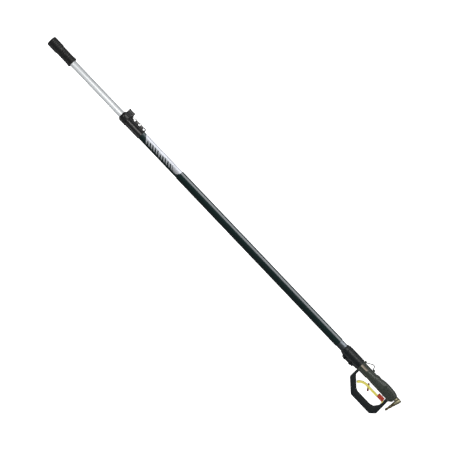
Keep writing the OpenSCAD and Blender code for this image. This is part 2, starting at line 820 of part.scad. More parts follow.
// ---- Lower pole ----
module outer_tube() {
    color("#5b6066") pipe_x(pole_x0, pole_x1, outer_r, outer_bore);
}
module tube_sleeve() {
    color("#12282a") pipe_x(sleeve_x0, label_x0, sleeve_d / 2, outer_r);
}
module tube_label() {
    color("#b9bdbf") pipe_x(label_x0, clamp_x0, outer_r + label_t, outer_r);
}
module tube_end_plug() {
    color("#303336") pipe_x(pole_x0, pole_x0 + end_plug_len, outer_bore, supply_r);
}

// ---- Pole clamp, cam lever and brake ----
module pole_clamp() {
    f0 = clamp_x0 + pole_flange_x[0];
    f1 = clamp_x0 + pole_flange_x[1];
    color("#17191a") difference() {
        union() {
            rod_x(clamp_x0, pole_x1 + 1, clamp_r);
            rod_x(pole_x1, collar_x1 - collar_taper, collar_r);
            cone_x(collar_x1 - collar_taper, collar_x1, collar_r, mouth_r);
            slab([[f0 - 3, -pole_flange_root], [f0, -pole_flange_reach], [f1 - 2, -pole_flange_reach],
                [f1 + 4, -pole_flange_root]], pole_flange_half);
            for (x = [ear_x0, ear_x1 - ear_t]) ear(x);
            slab([[ear_x0 - pole_rib[0], -pole_flange_root], [ear_x0 + pole_rib[1], -cam_pin_y],
                [ear_x0 + pole_rib[1], -pole_flange_root]], pole_rib_half);
        }
        rod_x(clamp_x0 - 1, pole_x1, outer_r);
        rod_x(pole_x1 - 1, bush_x[1], outer_r);
        rod_x(bush_x[1] - 1, collar_x1 + 1, inner_r + side_gap);
        block([clamp_x0 - 1, pole_x1 - 8], [-pole_flange_reach - 1, 0], slit / 2);
        for (x = pole_bolt_x) rod_z(-big, big, bolt_d / 2, [clamp_x0 + x, -pole_bolt_y]);
        rod_x(ear_x0 - 12, ear_x1 + 1, cam_pin_d / 2, -cam_pin_y);
        block([shoe_x[0] - 0.1, shoe_x[1] + 0.1], [-collar_r - 1, -inner_r], shoe_half_w + 0.1);
    }
}
module ear(x) {
    rod_x(x, x + ear_t, ear_r, -cam_pin_y);
    translate([x, 0, 0]) rotate([90, 0, 90]) linear_extrude(ear_t)
        polygon([[-cam_pin_y, -ear_r], [ear_root.x, -ear_root.y], ear_root, [-cam_pin_y, ear_r]]);
}
module pole_clamp_bolts() {
    color("#c6c9cb") for (x = pole_bolt_x) bolt([clamp_x0 + x, -pole_bolt_y], pole_flange_half);
}
module pole_clamp_nuts() {
    color("#c6c9cb") for (x = pole_bolt_x) hex_nut([clamp_x0 + x, -pole_bolt_y], pole_flange_half);
}
module cam_lever() {
    r1 = lever_r0 + lever_t;
    color("#222527") difference() {
        union() {
            lever_slice() polygon(concat(arc([0, 0], lever_r0, lever_from, lever_to, 20),
                arc([0, 0], r1, lever_to, lever_from, 20)));
            lever_slice() polygon([[-cam_pin_y, 6], lever_web[0],
                (lever_r0 + 0.2) * [cos(lever_to), sin(lever_to)], lever_web[1]]);
            rod_x(cam_x[0], cam_x[1], cam_r, cam_throw - cam_pin_y);
            lever_slice() translate((lever_r0 + lever_lip) * [cos(lever_from), sin(lever_from)])
                circle(lever_lip);
        }
        rod_x(cam_x[0] - 1, cam_x[1] + 1, cam_pin_d / 2 + run_gap, -cam_pin_y);
    }
}
module lever_slice() {
    translate([cam_x[0], 0, 0]) rotate([90, 0, 90]) linear_extrude(cam_x[1] - cam_x[0]) children();
}
module cam_pin() {
    color("#c6c9cb") rod_x(ear_x0, ear_x1, cam_pin_d / 2, -cam_pin_y);
}
module brake_shoe() {
    color("#d8d4c4") difference() {
        block(shoe_x, [-shoe_top, -inner_r + 1], shoe_half_w);
        rod_x(shoe_x[0] - 1, shoe_x[1] + 1, inner_r + 0.1);
    }
}
module collar_bush() {
    color("#d8d4c4") difference() {
        pipe_x(bush_x[0], bush_x[1], outer_r, inner_r + run_gap);
        block([shoe_x[0] - 0.1, shoe_x[1] + 0.1], [-outer_r - 1, -5], shoe_half_w + 0.1);
    }
}

// ---- Sliding pole and what is inside it ----
module inner_tube() {
    color("#cfd4d8") pipe_x(inner_x0, inner_x1, inner_r, inner_bore);
}
module lower_bush() {
    color("#d8d4c4") pipe_x(inner_x0, inner_x0 + carrier_len, outer_bore - run_gap, inner_r);
}
module seal_carrier() {
    color("#b79a55") difference() {
        rod_x(inner_x0, inner_x0 + carrier_len, inner_bore);
        rod_x(inner_x0 - 1, jet_x0 + 1, supply_r + run_gap);
        rod_x(jet_x0, inner_x0 + carrier_len + 1, jet_d / 2);
        for (x = seal_x) rod_x(x - seal_wire, x + seal_wire, supply_r + run_gap + 2 * seal_wire);
    }
}
module pipe_seals() {
    color("#202020") for (x = seal_x) o_ring_x(x, supply_r + run_gap + seal_wire, 2 * seal_wire);
}
module jet_pipe() {
    color("#a9adb0") pipe_x(jet_x0, jet_x1, jet_d / 2, jet_d / 2 - jet_wall);
}
module nozzle_holder() {
    color("#b79a55") difference() {
        union() {
            rod_x(holder_x0, inner_x1, inner_bore);
            rod_x(inner_x1, web_x0, inner_r);
            rod_x(web_x0 - 1, holder_x1, web_r);
        }
        rod_x(holder_x0 - 1, jet_x1, jet_d / 2);
        rod_x(jet_x1 - 1, holder_x1 + 1, stub_bore);
        rod_x(holder_x1 - nozzle_thread_len, holder_x1 + 1, nozzle_thread_r);
    }
}
module nozzle() {
    stem_r = nozzle_thread_r;
    color("#c9ccce") difference() {
        union() {
            rod_x(holder_x1 - nozzle_thread_len, holder_x1 + 1, stem_r);
            translate([holder_x1, 0, 0]) rotate([0, 90, 0])
                cylinder(h = nozzle_hex_len, r = nozzle_hex_r, $fn = 6);
            rod_x(holder_x1 + nozzle_hex_len - 1, nozzle_x1, stem_r);
        }
        rod_x(holder_x1 - nozzle_thread_len - 1, nozzle_x1 - nozzle_jet_len, stub_bore);
        rod_x(nozzle_x1 - nozzle_jet_len - 1, nozzle_x1 + 1, nozzle_jet_r);
        slab([[nozzle_x1 - fan_depth, 0], [nozzle_x1 + 1, -fan_half], [nozzle_x1 + 1, fan_half]], stem_r + 1);
    }
}
module nozzle_guard() {
    r = tip_d / 2;
    front = tip_front_d / 2;
    step = tip_x1 - tip_front_len;
    color("#1b1b1c") difference() {
        turned_x([[0, tip_x0], [r - tip_lip, tip_x0], [r, tip_x0 + tip_rim[0]], [r, tip_x0 + tip_rim[1]],
            [r - tip_waist, tip_x0 + tip_rim[2]], [r - tip_waist, step - tip_slope], [front, step],
            [front, tip_x1 - tip_rim[0]], [front - tip_lip, tip_x1], [0, tip_x1]]);
        rod_x(tip_x0 - 1, web_x0, inner_r);
        rod_x(web_x0 - 1, tip_x1, web_r);
        rod_x(tip_x1 - recess_len, tip_x1 + 1, recess_d / 2);
    }
}

place() left_shell();
place() right_shell();
place() housing_screws();
place() trigger();
place() trigger_block();
place() trigger_pin();
place() safety_latch();
place() latch_pin();
place() strap_loop();
place() valve_body();
place() valve_seat();
place() valve_ball();
place() valve_spring();
place() valve_plug();
place() plug_washer();
place() push_pin();
place() pin_seal();
place() gland_nut();
place() inlet_stub();
place() swivel_nut();
place() swivel_seal();
place() swivel_elbow();
place() hose_plug();
place() gun_clamp();
place() gun_clamp_bolts();
place() gun_clamp_nuts();
place() outer_tube();
place() tube_sleeve();
place() tube_label();
place() tube_end_plug();
place() supply_pipe();
place() pole_clamp();
place() pole_clamp_bolts();
place() pole_clamp_nuts();
place() cam_lever();
place() cam_pin();
place() brake_shoe();
place() collar_bush();
place() inner_tube();
place() lower_bush();
place() jet_pipe();
place() seal_carrier();
place() pipe_seals();
place() nozzle_holder();
place() nozzle();
place() nozzle_guard();
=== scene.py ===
import math

import bpy
from mathutils import Matrix, Vector


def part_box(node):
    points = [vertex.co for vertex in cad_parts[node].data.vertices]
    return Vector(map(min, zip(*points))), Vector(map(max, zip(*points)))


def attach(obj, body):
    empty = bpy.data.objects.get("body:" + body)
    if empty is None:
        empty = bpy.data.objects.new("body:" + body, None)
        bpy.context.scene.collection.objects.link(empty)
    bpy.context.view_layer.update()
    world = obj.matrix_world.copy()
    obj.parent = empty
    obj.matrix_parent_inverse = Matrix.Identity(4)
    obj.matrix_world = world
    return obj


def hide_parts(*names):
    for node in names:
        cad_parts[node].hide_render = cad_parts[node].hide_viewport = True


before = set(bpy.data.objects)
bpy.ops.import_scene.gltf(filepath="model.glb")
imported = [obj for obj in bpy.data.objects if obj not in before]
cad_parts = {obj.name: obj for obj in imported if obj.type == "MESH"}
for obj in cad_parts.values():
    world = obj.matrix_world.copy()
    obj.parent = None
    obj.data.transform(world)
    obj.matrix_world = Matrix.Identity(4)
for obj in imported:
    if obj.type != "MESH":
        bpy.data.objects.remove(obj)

bpy.context.view_layer.update()

# ---- Studio: camera, floor and lights ----
# The lance lies flat on a pale table and is seen from straight above with a long lens, tip to the upper
# left. One soft box hangs over everything. The other lamps each shine on a few pieces only, which are
# put in their collections near the end.
CAMERA_TURN = math.radians(226.385)
CAMERA_HEIGHT = 6.137
LENS = 135
FRAME_MIDDLE = (-0.0145, -0.0250)
TABLE_WHITE = (1.0, 1.0, 1.0, 1.0)
ROOM_RADIUS = 30
ROOM_GREY = (0.80, 0.85, 0.90, 1.0)
ROOM_GLOW = 0.20
MIDDLE = (0, 0, 0)

bpy.ops.object.select_all(action="DESELECT")
bpy.ops.object.camera_add(location=(*FRAME_MIDDLE, CAMERA_HEIGHT), rotation=(0, 0, CAMERA_TURN))
camera = bpy.context.object
camera.data.lens = LENS
camera.data.sensor_width = 36
camera.data.clip_end = 100
bpy.context.scene.camera = camera
bpy.context.scene.view_settings.view_transform = "Standard"


def lamp(name, place, aim, size, watts, colour=(1, 1, 1), glossy=True):
    """A rectangular light of (long, short) size in metres at a place, aimed at a point."""
    bpy.ops.object.light_add(type="AREA", location=place)
    light = bpy.context.object
    light.name = name
    look = (Vector(aim) - Vector(place)).normalized()
    side = Vector((1, 0, 0))
    up = look.cross(side).normalized()
    light.matrix_world = Matrix.Translation(Vector(place)) @ Matrix((side, up, -look)).transposed().to_4x4()
    light.data.shape = "RECTANGLE"
    light.data.size, light.data.size_y = size
    light.data.energy = watts
    light.data.color = colour
    light.visible_glossy = glossy
    light.visible_camera = False
    return light


lamp("overhead_box", (0, 0.3, 3.0), MIDDLE, (4.0, 2.0), 88, (1.0, 0.99, 0.97), glossy=False)


def aimed_lamp(name, *settings):
    """A lamp that lights only the pieces put into its own collection."""
    pieces = bpy.data.collections.new(name + "_pieces")
    lamp(name, *settings).light_linking.receiver_collection = pieces
    return pieces.objects.link


edge_light = aimed_lamp("side_box", (0, -2.1, 0.85), MIDDLE, (6.0, 2.1), 235, (0.95, 0.95, 1.0))
crown_light = aimed_lamp("overhead_strip", (0, -0.35, 3.0), MIDDLE, (4.0, 0.5), 60, (1.0, 0.97, 0.94))
near_fill = aimed_lamp("near_fill", (0, -3.2, 0.3), MIDDLE, (6.0, 0.9), 24, (1.0, 1.0, 1.0))
far_fill = aimed_lamp("far_fill", (0, 3.2, 0.3), MIDDLE, (6.0, 0.9), 24, (1.0, 1.0, 1.0))
body_light = aimed_lamp("shoulder_strip", (0, -1.9, 2.7), MIDDLE, (4.0, 0.6), 60, (1.0, 1.0, 0.97))

world = bpy.data.worlds.new("room")
bpy.context.scene.world = world
world.use_nodes = True
world.node_tree.nodes["Background"].inputs["Color"].default_value = ROOM_GREY
world.node_tree.nodes["Background"].inputs["Strength"].default_value = ROOM_GLOW


def white_stage(name, glow):
    """A bright white material for the table and for the wall behind it."""
    paper = bpy.data.materials.new(name)
    paper.use_nodes = True
    shader = paper.node_tree.nodes["Principled BSDF"]
    shader.inputs["Base Color"].default_value = TABLE_WHITE
    shader.inputs["Roughness"].default_value = 1.0
    shader.inputs["Specular IOR Level"].default_value = 0.0
    shader.inputs["Emission Color"].default_value = TABLE_WHITE
    shader.inputs["Emission Strength"].default_value = glow
    return paper


bpy.ops.object.select_all(action="DESELECT")
bpy.ops.mesh.primitive_circle_add(vertices=96, radius=ROOM_RADIUS, fill_type="NGON")
table = bpy.context.object
table.name = "table"
table.data.materials.append(white_stage("table_paper", 1.0))
bpy.ops.mesh.primitive_uv_sphere_add(segments=64, ring_count=32, radius=ROOM_RADIUS)
wall = bpy.context.object
wall.name = "wall"
wall.data.materials.append(white_stage("wall_paper", 1.0))
for stage in (table, wall):
    stage.visible_diffuse = False
    stage.visible_glossy = False
    stage.visible_shadow = False

# ---- Lower pole: aluminium tube, plastic cover and printed film ----
# A drawn tube, dark anodised, with a dark green plastic cover shrunk on it and a strip of printed film
# above that. A short bare stretch shows between the cover and the gun clamp.
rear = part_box("left_shell")[0].x
axis_y = sum(corner.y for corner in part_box("outer_tube")) / 2
axis_z = sum(corner.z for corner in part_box("outer_tube")) / 2
MM = 0.001
X, Y, Z = Vector((1, 0, 0)), Vector((0, 1, 0)), Vector((0, 0, 1))


def spot(x, y=0.0, z=0.0):
    """A place given in millimetres from the rear of the gun body, on the poles' axis."""
    return Vector((rear + x * MM, axis_y + y * MM, axis_z + z * MM))


def along(node):
    """Where a CAD piece starts and ends along the poles, in the same millimetres."""
    low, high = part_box(node)
    return (low.x - rear) / MM, (high.x - rear) / MM


def wire(name, points, closed=True):
    """A ring of edges through the points, or an open row of them."""
    bpy.ops.object.select_all(action="DESELECT")
    bpy.ops.mesh.primitive_circle_add(vertices=len(points), fill_type="NOTHING")
    piece = bpy.context.object
    piece.name = piece.data.name = name
    for vertex, point in zip(piece.data.vertices, points):
        vertex.co = point
    if not closed:
        last = {0, len(points) - 1}
        bpy.ops.object.mode_set(mode="EDIT")
        bpy.ops.mesh.select_mode(type="EDGE")
        bpy.ops.mesh.select_all(action="DESELECT")
        bpy.ops.object.mode_set(mode="OBJECT")
        for edge in piece.data.edges:
            edge.select = set(edge.vertices) == last
        bpy.ops.object.mode_set(mode="EDIT")
        bpy.ops.mesh.delete(type="EDGE")
        bpy.ops.mesh.select_mode(type="VERT")
        bpy.ops.object.mode_set(mode="OBJECT")
    return piece


def close_up(piece):
    """Merges what meets, drops loose bits and turns every face outwards."""
    bpy.ops.object.select_all(action="DESELECT")
    piece.select_set(True)
    bpy.context.view_layer.objects.active = piece
    bpy.ops.object.mode_set(mode="EDIT")
    bpy.ops.mesh.select_all(action="SELECT")
    bpy.ops.mesh.remove_doubles(threshold=2e-6)
    bpy.ops.mesh.dissolve_degenerate(threshold=1e-6)
    bpy.ops.mesh.delete_loose()
    bpy.ops.mesh.select_all(action="SELECT")
    bpy.ops.mesh.normals_make_consistent(inside=False)
    bpy.ops.object.mode_set(mode="OBJECT")
    return piece


def turned(name, profile, base=(0, 0, 0), run=X, out=Y, steps=96):
    """Turns a profile of (distance, radius) in millimetres round the line through base along run."""
    start = spot(*base)
    points = [start + run * (d * MM) + out * (r * MM) for d, r in profile]
    solid_core = profile[0][1] == 0 and profile[-1][1] == 0
    piece = wire(name, points, closed=not solid_core)
    bpy.ops.object.mode_set(mode="EDIT")
    bpy.ops.mesh.select_all(action="SELECT")
    bpy.ops.mesh.spin(steps=steps, angle=2 * math.pi, center=start, axis=run)
    bpy.ops.object.mode_set(mode="OBJECT")
    return close_up(piece)


def soften(piece, width=0.4, segments=2, limit=30, smooth=35):
    """Rounds the sharp edges by a width in millimetres and smooths the shading between them."""
    bpy.ops.object.select_all(action="DESELECT")
    piece.select_set(True)
    bpy.context.view_layer.objects.active = piece
    if width:
        edge = piece.modifiers.new("edge", "BEVEL")
        edge.width = width * MM
        edge.segments = segments
        edge.limit_method = "ANGLE"
        edge.angle_limit = math.radians(limit)
        bpy.ops.object.modifier_apply(modifier=edge.name)
    bpy.ops.object.shade_smooth_by_angle(angle=math.radians(smooth))
    return piece


def fit(piece, finish, body, slot, *nodes):
    """Gives a finished piece its material, the body that it rides on and the nodes it stands for; the slot
    argument is not used.
    """
    piece.data.materials.clear()
    piece.data.materials.append(finish)
    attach(piece, body)
    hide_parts(*nodes)
    return piece


def tint(code):
    """A colour written as on a paint card, rrggbb, in the light values that the shader takes."""
    parts = [int(code[i:i + 2], 16) / 255 for i in (0, 2, 4)]
    return (*[c / 12.92 if c < 0.04045 else ((c + 0.055) / 1.055) ** 2.4 for c in parts], 1.0)


class Value:
    """A number, colour or vector in a material. A sum written with it adds the nodes for that sum."""

    def __init__(self, finish, socket):
        self.finish, self.socket = finish, socket

    def join(self, operation, a, b):
        return self.finish.node("ShaderNodeMath", {"operation": operation}, {0: a, 1: b})

    def __add__(self, other):
        return self.join("ADD", self, other)

    def __radd__(self, other):
        return self.join("ADD", other, self)

    def __sub__(self, other):
        return self.join("SUBTRACT", self, other)

    def __rsub__(self, other):
        return self.join("SUBTRACT", other, self)

    def __mul__(self, other):
        return self.join("MULTIPLY", self, other)

    def __rmul__(self, other):
        return self.join("MULTIPLY", other, self)

    def __truediv__(self, other):
        return self.join("DIVIDE", self, other)

    def __gt__(self, other):
        return self.join("GREATER_THAN", self, other)

    def __lt__(self, other):
        return self.join("LESS_THAN", self, other)


class Finish:
    """A material: constants go on its shader, and node() makes any other node."""

    def __init__(self, name, roughness=0.5, metallic=0.0, **settings):
        self.material = bpy.data.materials.new(name)
        self.material.use_nodes = True
        self.tree = self.material.node_tree
        self.shader = self.tree.nodes["Principled BSDF"]
        self.put("Roughness", roughness)
        self.put("Metallic", metallic)
        for key, value in settings.items():
            self.put(key.replace("_", " "), value)
        self.place = self.node("ShaderNodeTexCoord", output="Object")

    def node(self, kind, settings=None, inputs=None, output=0):
        made = self.tree.nodes.new(kind)
        for key, value in (settings or {}).items():
            setattr(made, key, value)
        for key, value in (inputs or {}).items():
            self.feed(made.inputs[key], value)
        return Value(self, made.outputs[output])

    def feed(self, socket, value):
        if isinstance(value, Value):
            self.tree.links.new(value.socket, socket)
        else:
            socket.default_value = value

    def put(self, name, value):
        self.feed(self.shader.inputs[name], value)

    def stretched(self, x=1.0, y=1.0, z=1.0):
        return self.node("ShaderNodeVectorMath", {"operation": "MULTIPLY"}, {0: self.place, 1: (x, y, z)})

    def noise(self, scale, detail=3.0, rough=0.5, place=None):
        return self.node("ShaderNodeTexNoise", {}, {
            "Vector": place or self.place, "Scale": scale, "Detail": detail, "Roughness": rough}, "Fac")

    def ranged(self, value, low, high, to_low=0.0, to_high=1.0):
        return self.node("ShaderNodeMapRange", {}, {
            0: value, 1: low, 2: high, 3: to_low, 4: to_high})

    def mix(self, factor, a, b):
        return self.node("ShaderNodeMix", {"data_type": "RGBA"}, {0: factor, 6: a, 7: b}, 2)

    def bump(self, height, depth, strength=1.0):
        """Feeds a height to the shader's normal; depth is in millimetres."""
        self.put("Normal", self.node("ShaderNodeBump", {}, {
            "Height": height, "Distance": depth * MM, "Strength": strength}))


def anodised(name, dark, light, roughness, drawn=1.0, metallic=0.85):
    """Drawn aluminium tube: fine lines along it, slight bands of shade and a few rubbed places."""
    film = Finish(name, metallic=metallic)
    lines = film.noise(900, 2, 0.6, film.stretched(0.012, 1, 1))
    cloud = film.noise(14, 4, 0.55)
    rubs = film.ranged(film.noise(60, 5, 0.7, film.stretched(0.25, 1, 1)), 0.62, 0.75)
    film.put("Base Color", film.mix(lines * 0.55 + cloud * 0.45, dark, light))
    film.put("Roughness", roughness + cloud * 0.10 - rubs * 0.06 + lines * 0.05)
    film.bump(lines, 0.02 * drawn, 0.35)
    return film.material


def plastic_cover():
    """Shrunk plastic: dark green and glossy, with slow waves and lengthwise scuffs."""
    cover = Finish("cover_green", IOR=1.5, Coat_Roughness=0.3)
    cloud = cover.noise(9, 4, 0.6, cover.stretched(0.5, 1, 1))
    grain = cover.noise(1500, 2, 0.5)
    waves = cover.noise(70, 2, 0.5, cover.stretched(0.35, 1, 1))
    scuffs = cover.ranged(cover.noise(180, 6, 0.75, cover.stretched(0.12, 1, 1)), 0.64, 0.78)
    base = cover.mix(cloud, tint("020d0c"), tint("041a18"))
    cover.put("Base Color", cover.mix(scuffs * 0.35, base, tint("2b3f3c")))
    cover.put("Roughness", 0.16 + grain * 0.06 + scuffs * 0.15 + cloud * 0.05)
    cover.put("Coat Weight", 0.15 - scuffs * 0.1)
    cover.bump(waves * 0.7 + grain * 0.05, 0.10, 0.5)
    return cover.material


TUBE_R, TUBE_WALL, FIT_GAP = 15.875, 1.5, 0.02
COVER_R = 17.5
LABEL_R = 16.1
PANEL_LOW, PANEL_HIGH, PANEL_SLANT = -34.0, 9.0, 0.8
PANEL_START, PANEL_END, BARS_START = 4, 24, 34
BAR_PITCH, BAR_SHARE, BAR_REACH = 13.0, 0.52, 8.0
label_x0, label_x1 = along("tube_label")


def label_film():
    """Printed film: a silver panel with slanted ends and plain slanted bars, which say nothing."""
    film = Finish("label_film", metallic=0.25)
    parts = film.node("ShaderNodeSeparateXYZ", {}, {0: film.place}, "X")
    split = parts.socket.node
    x = parts / MM
    side = Value(film, split.outputs["Y"]) - axis_y
    lift = Value(film, split.outputs["Z"]) - axis_z
    girth = film.node("ShaderNodeMath", {"operation": "ARCTAN2"}, {0: side, 1: lift}) * LABEL_R
    slant, rise = x + girth * PANEL_SLANT, x - girth * PANEL_SLANT
    step = slant / BAR_PITCH
    cell = film.node("ShaderNodeMath", {"operation": "FLOOR"}, {0: step})
    chance = film.node("ShaderNodeTexWhiteNoise", {"noise_dimensions": "1D"}, {"W": cell}, "Value")
    panel = (rise > label_x0 + PANEL_START + rear / MM) * (slant < label_x1 - PANEL_END + rear / MM) \
        * (girth > PANEL_LOW) * (girth < PANEL_HIGH)
    bars = (step - cell > BAR_SHARE) * (girth > chance * PANEL_HIGH - BAR_REACH) \
        + (chance > 0.8) * (girth > 2.0) * (girth < 5.0)
    bars = bars * (slant > label_x0 + BARS_START + rear / MM)
    ink = 1 - panel * (1 - film.node("ShaderNodeMath", {"operation": "MINIMUM"}, {0: bars, 1: 1.0}))
    grain = film.noise(1200, 2, 0.5)
    wear = film.ranged(film.noise(55, 5, 0.7), 0.58, 0.70)
    ground = film.mix(film.noise(20, 3), tint("76787b"), tint("9b9da0"))
    film.put("Base Color", film.mix(ink * (1 - wear * 0.25), ground, tint("0a1c1c")))
    film.put("Roughness", 0.36 + wear * 0.2 + grain * 0.08)
    film.bump(ink * 0.6 + grain * 0.15, 0.03, 0.5)
    return film.material


tube_x0, tube_x1 = along("outer_tube")
lower_tube = turned("lower_tube", [(tube_x0, TUBE_R - TUBE_WALL), (tube_x0, TUBE_R),
                                   (tube_x1, TUBE_R), (tube_x1, TUBE_R - TUBE_WALL)])
fit(soften(lower_tube, 0.3), anodised("dark_anodised", tint("3a3e41"), tint("666b6e"), 0.34),
    "lance", "dark_anodised", "outer_tube")

cover_x0, cover_x1 = along("tube_sleeve")
lip = [(0, TUBE_R + FIT_GAP), (0, COVER_R - 0.7), (1.2, COVER_R), (8, COVER_R), (8.6, COVER_R - 0.3),
       (9.2, COVER_R)]
cover = turned("pole_cover", [(cover_x0 + d, r) for d, r in lip]
               + [(cover_x1 - d, r) for d, r in reversed(lip)], steps=128)
fit(soften(cover, 0.15, 2, 20), plastic_cover(), "lance", "cover_green", "tube_sleeve")

label = turned("pole_label", [(label_x0 + 0.3, TUBE_R + FIT_GAP), (label_x0 + 0.3, LABEL_R),
                              (label_x1 - 0.1, LABEL_R), (label_x1 - 0.1, TUBE_R + FIT_GAP)], steps=128)
fit(soften(label, 0.08, 1), label_film(), "lance", "label_film", "tube_label")


# ---- Inside the lower pole: end plug and supply pipe ----
# A grey nylon plug centres a thin steel pipe, which carries the water up from the valve. Neither shows
# once the clamps are on, so the turned pieces stay as they are and only take their finish.
def coat(finish, *nodes):
    """Gives pieces that keep their shape a finish of their own."""
    for name in nodes:
        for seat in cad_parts[name].material_slots:
            seat.material = finish


def metal(name, dark, light, roughness, scratch=0.5, grain=500):
    """Machined or plated metal: turning marks, a mottled tone and short scratches."""
    skin = Finish(name, metallic=1.0)
    marks = skin.noise(grain, 2, 0.6, skin.stretched(1, 0.08, 0.08))
    cloud = skin.noise(90, 4, 0.6)
    scratches = skin.ranged(skin.noise(420, 6, 0.8, skin.stretched(0.3, 1, 1)), 0.66, 0.74)
    skin.put("Base Color", skin.mix(cloud * 0.8 + marks * 0.2, dark, light))
    skin.put("Roughness", roughness + cloud * 0.14 + scratches * scratch * 0.2)
    skin.bump(marks * 0.5 + scratches * scratch, 0.03, 0.4)
    return skin.material


def nylon(name, dark, light):
    """Turned nylon: milky, with faint rings from the lathe."""
    skin = Finish(name, Subsurface_Weight=0.1, IOR=1.53)
    rings = skin.noise(700, 2, 0.5, skin.stretched(1, 0.05, 0.05))
    skin.put("Base Color", skin.mix(skin.noise(120, 3), dark, light))
    skin.put("Roughness", 0.42 + rings * 0.16)
    skin.bump(rings, 0.03, 0.4)
    return skin.material


steel = metal("steel", tint("8d9294"), tint("c3c7c9"), 0.22)
coat(nylon("grey_nylon", tint("26292b"), tint("383c3f")), "tube_end_plug")
coat(steel, "supply_pipe", "jet_pipe")

# ---- Gun clamp ----
# A moulded clamp in soft black plastic that joins the gun's spigot to the pole. Its split side carries
# two lobes, each pulled up by a black cap bolt with a hexagon nut below.
GUN_CLAMP_R, GUN_CLAMP_MOUTH = 21.6, 12.6
GUN_LOBE_R, GUN_LOBE_HALF, GUN_WEB_HALF = 6.9, 11.75, 9.6
BOLT_HEAD_R, BOLT_HEAD_H, BOLT_R, BOLT_HOLE_R = 4.0, 3.2, 2.5, 2.6
SOCKET_R, SOCKET_DEPTH = 2.3, 1.7
NUT_HEIGHT, NUT_R = 4.0, 4.6
GUN_BOLT_SEAT, GUN_BOLT_FOOT = 11.8, -15.8


def slab(name, outline, low, high, push=Z):
    """A flat outline of (x, y) places in millimetres, filled and pushed up from low to high."""
    points = [spot(x, y, low) for x, y in outline] if push == Z else [spot(low, y, z) for y, z in outline]
    piece = wire(name, points)
    bpy.ops.object.mode_set(mode="EDIT")
    bpy.ops.mesh.select_all(action="SELECT")
    bpy.ops.mesh.edge_face_add()
    bpy.ops.mesh.extrude_region_move(TRANSFORM_OT_translate={"value": push * ((high - low) * MM)})
    bpy.ops.object.mode_set(mode="OBJECT")
    return close_up(piece)


def rod(start, end, radius, base=(0, 0, 0), steps=48):
    """A round bar along the poles, through base."""
    return turned("rod", [(start, 0), (start, radius), (end, radius), (end, 0)], base, steps=steps)


def six_corners(radius, at=(0, 0)):
    """The corners of a hexagon."""
    return [(at[0] + radius * math.cos(math.radians(a)), at[1] + radius * math.sin(math.radians(a)))
            for a in range(0, 360, 60)]


def disc(at, radius, low, high, name="disc", steps=48):
    """An upright round bar."""
    ring = [(at[0] + radius * math.cos(2 * math.pi * i / steps),
             at[1] + radius * math.sin(2 * math.pi * i / steps))
            for i in range(steps)]
    return slab(name, ring, low, high)


def box_of(low, high, name="box"):
    """A plain block between two corners, in millimetres, used to build up or cut a piece."""
    return slab(name, [(low[0], low[1]), (high[0], low[1]), (high[0], high[1]), (low[0], high[1])],
                low[2], high[2])


def work(piece, operation, *tools):
    """Joins the tools on to a piece or cuts them out of it, one after another."""
    for tool in tools:
        bpy.ops.object.select_all(action="DESELECT")
        piece.select_set(True)
        bpy.context.view_layer.objects.active = piece
        step = piece.modifiers.new("step", "BOOLEAN")
        step.operation, step.solver, step.object = operation, "EXACT", tool
        bpy.ops.object.modifier_apply(modifier=step.name)
        bpy.data.objects.remove(tool, do_unlink=True)
    return piece


def moulded(name, dark, light, roughness=0.42, grain=0.06, scale=1400, glint=0.0, painted_shade_below=None):
    """Injection moulded plastic: spark-eroded grain, faint flow marks, scuffs on the high places."""
    skin = Finish(name, IOR=1.5, Coat_Roughness=0.25)
    fine = skin.noise(scale, 2, 0.5)
    flow = skin.noise(35, 4, 0.6)
    scuffs = skin.ranged(skin.noise(150, 6, 0.8), 0.60, 0.76)
    base = skin.mix(flow, dark, light)
    # Past a given height, towards the guard, the base colour fades to a darker tint: this is painted shade, not
    # the plastic's own colour.
    if painted_shade_below:
        split = skin.node("ShaderNodeSeparateXYZ", {}, {0: skin.place}, "Y")
        base = skin.mix(skin.ranged(split, *(axis_y + y * MM for y in painted_shade_below[:2])), base, painted_shade_below[2])
    skin.put("Base Color", skin.mix(scuffs * 0.10, base, tint("4d504c")))
    skin.put("Roughness", roughness + fine * 0.10 + scuffs * 0.12)
    skin.put("Coat Weight", glint * (1 - scuffs))
    skin.bump(fine + scuffs * 0.2, grain, 0.5)
    return skin.material


clamp_x0, clamp_x1 = along("gun_clamp")
bolt_y = 22.7
bolt_low, bolt_high = along("gun_clamp_bolts")
bolt_places = [(bolt_low + 4, bolt_y), (bolt_high - 4, bolt_y)]
gun_clamp = turned("gun_clamp_body", [
    (clamp_x0, TUBE_R), (clamp_x0, GUN_CLAMP_R - 1.2), (clamp_x0 + 1.2, GUN_CLAMP_R),
    (clamp_x0 + 5, GUN_CLAMP_R), (clamp_x0 + 6, GUN_CLAMP_R - 0.8), (clamp_x0 + 8, GUN_CLAMP_R - 0.8),
    (clamp_x0 + 9, GUN_CLAMP_R), (clamp_x1 - GUN_CLAMP_MOUTH - 6, GUN_CLAMP_R),
    (clamp_x1 - GUN_CLAMP_MOUTH - 5, GUN_CLAMP_R - 0.8), (clamp_x1 - GUN_CLAMP_MOUTH - 3, GUN_CLAMP_R - 0.8),
    (clamp_x1 - GUN_CLAMP_MOUTH - 2, GUN_CLAMP_R), (clamp_x1 - GUN_CLAMP_MOUTH, GUN_CLAMP_R),
    (clamp_x1, TUBE_R + 1.4), (clamp_x1, TUBE_R)])
flange = slab("flange", [(clamp_x0 + 12, 14), (clamp_x0 + 19, 27), (clamp_x0 + 66, 27), (clamp_x0 + 73, 14)],
              -GUN_WEB_HALF, GUN_WEB_HALF)
lobes = [disc((x, y - 0.6), GUN_LOBE_R, -GUN_LOBE_HALF, GUN_LOBE_HALF) for x, y in bolt_places]
work(gun_clamp, "UNION", soften(flange, 1.2, 3), *[soften(lobe, 1.0, 3) for lobe in lobes])
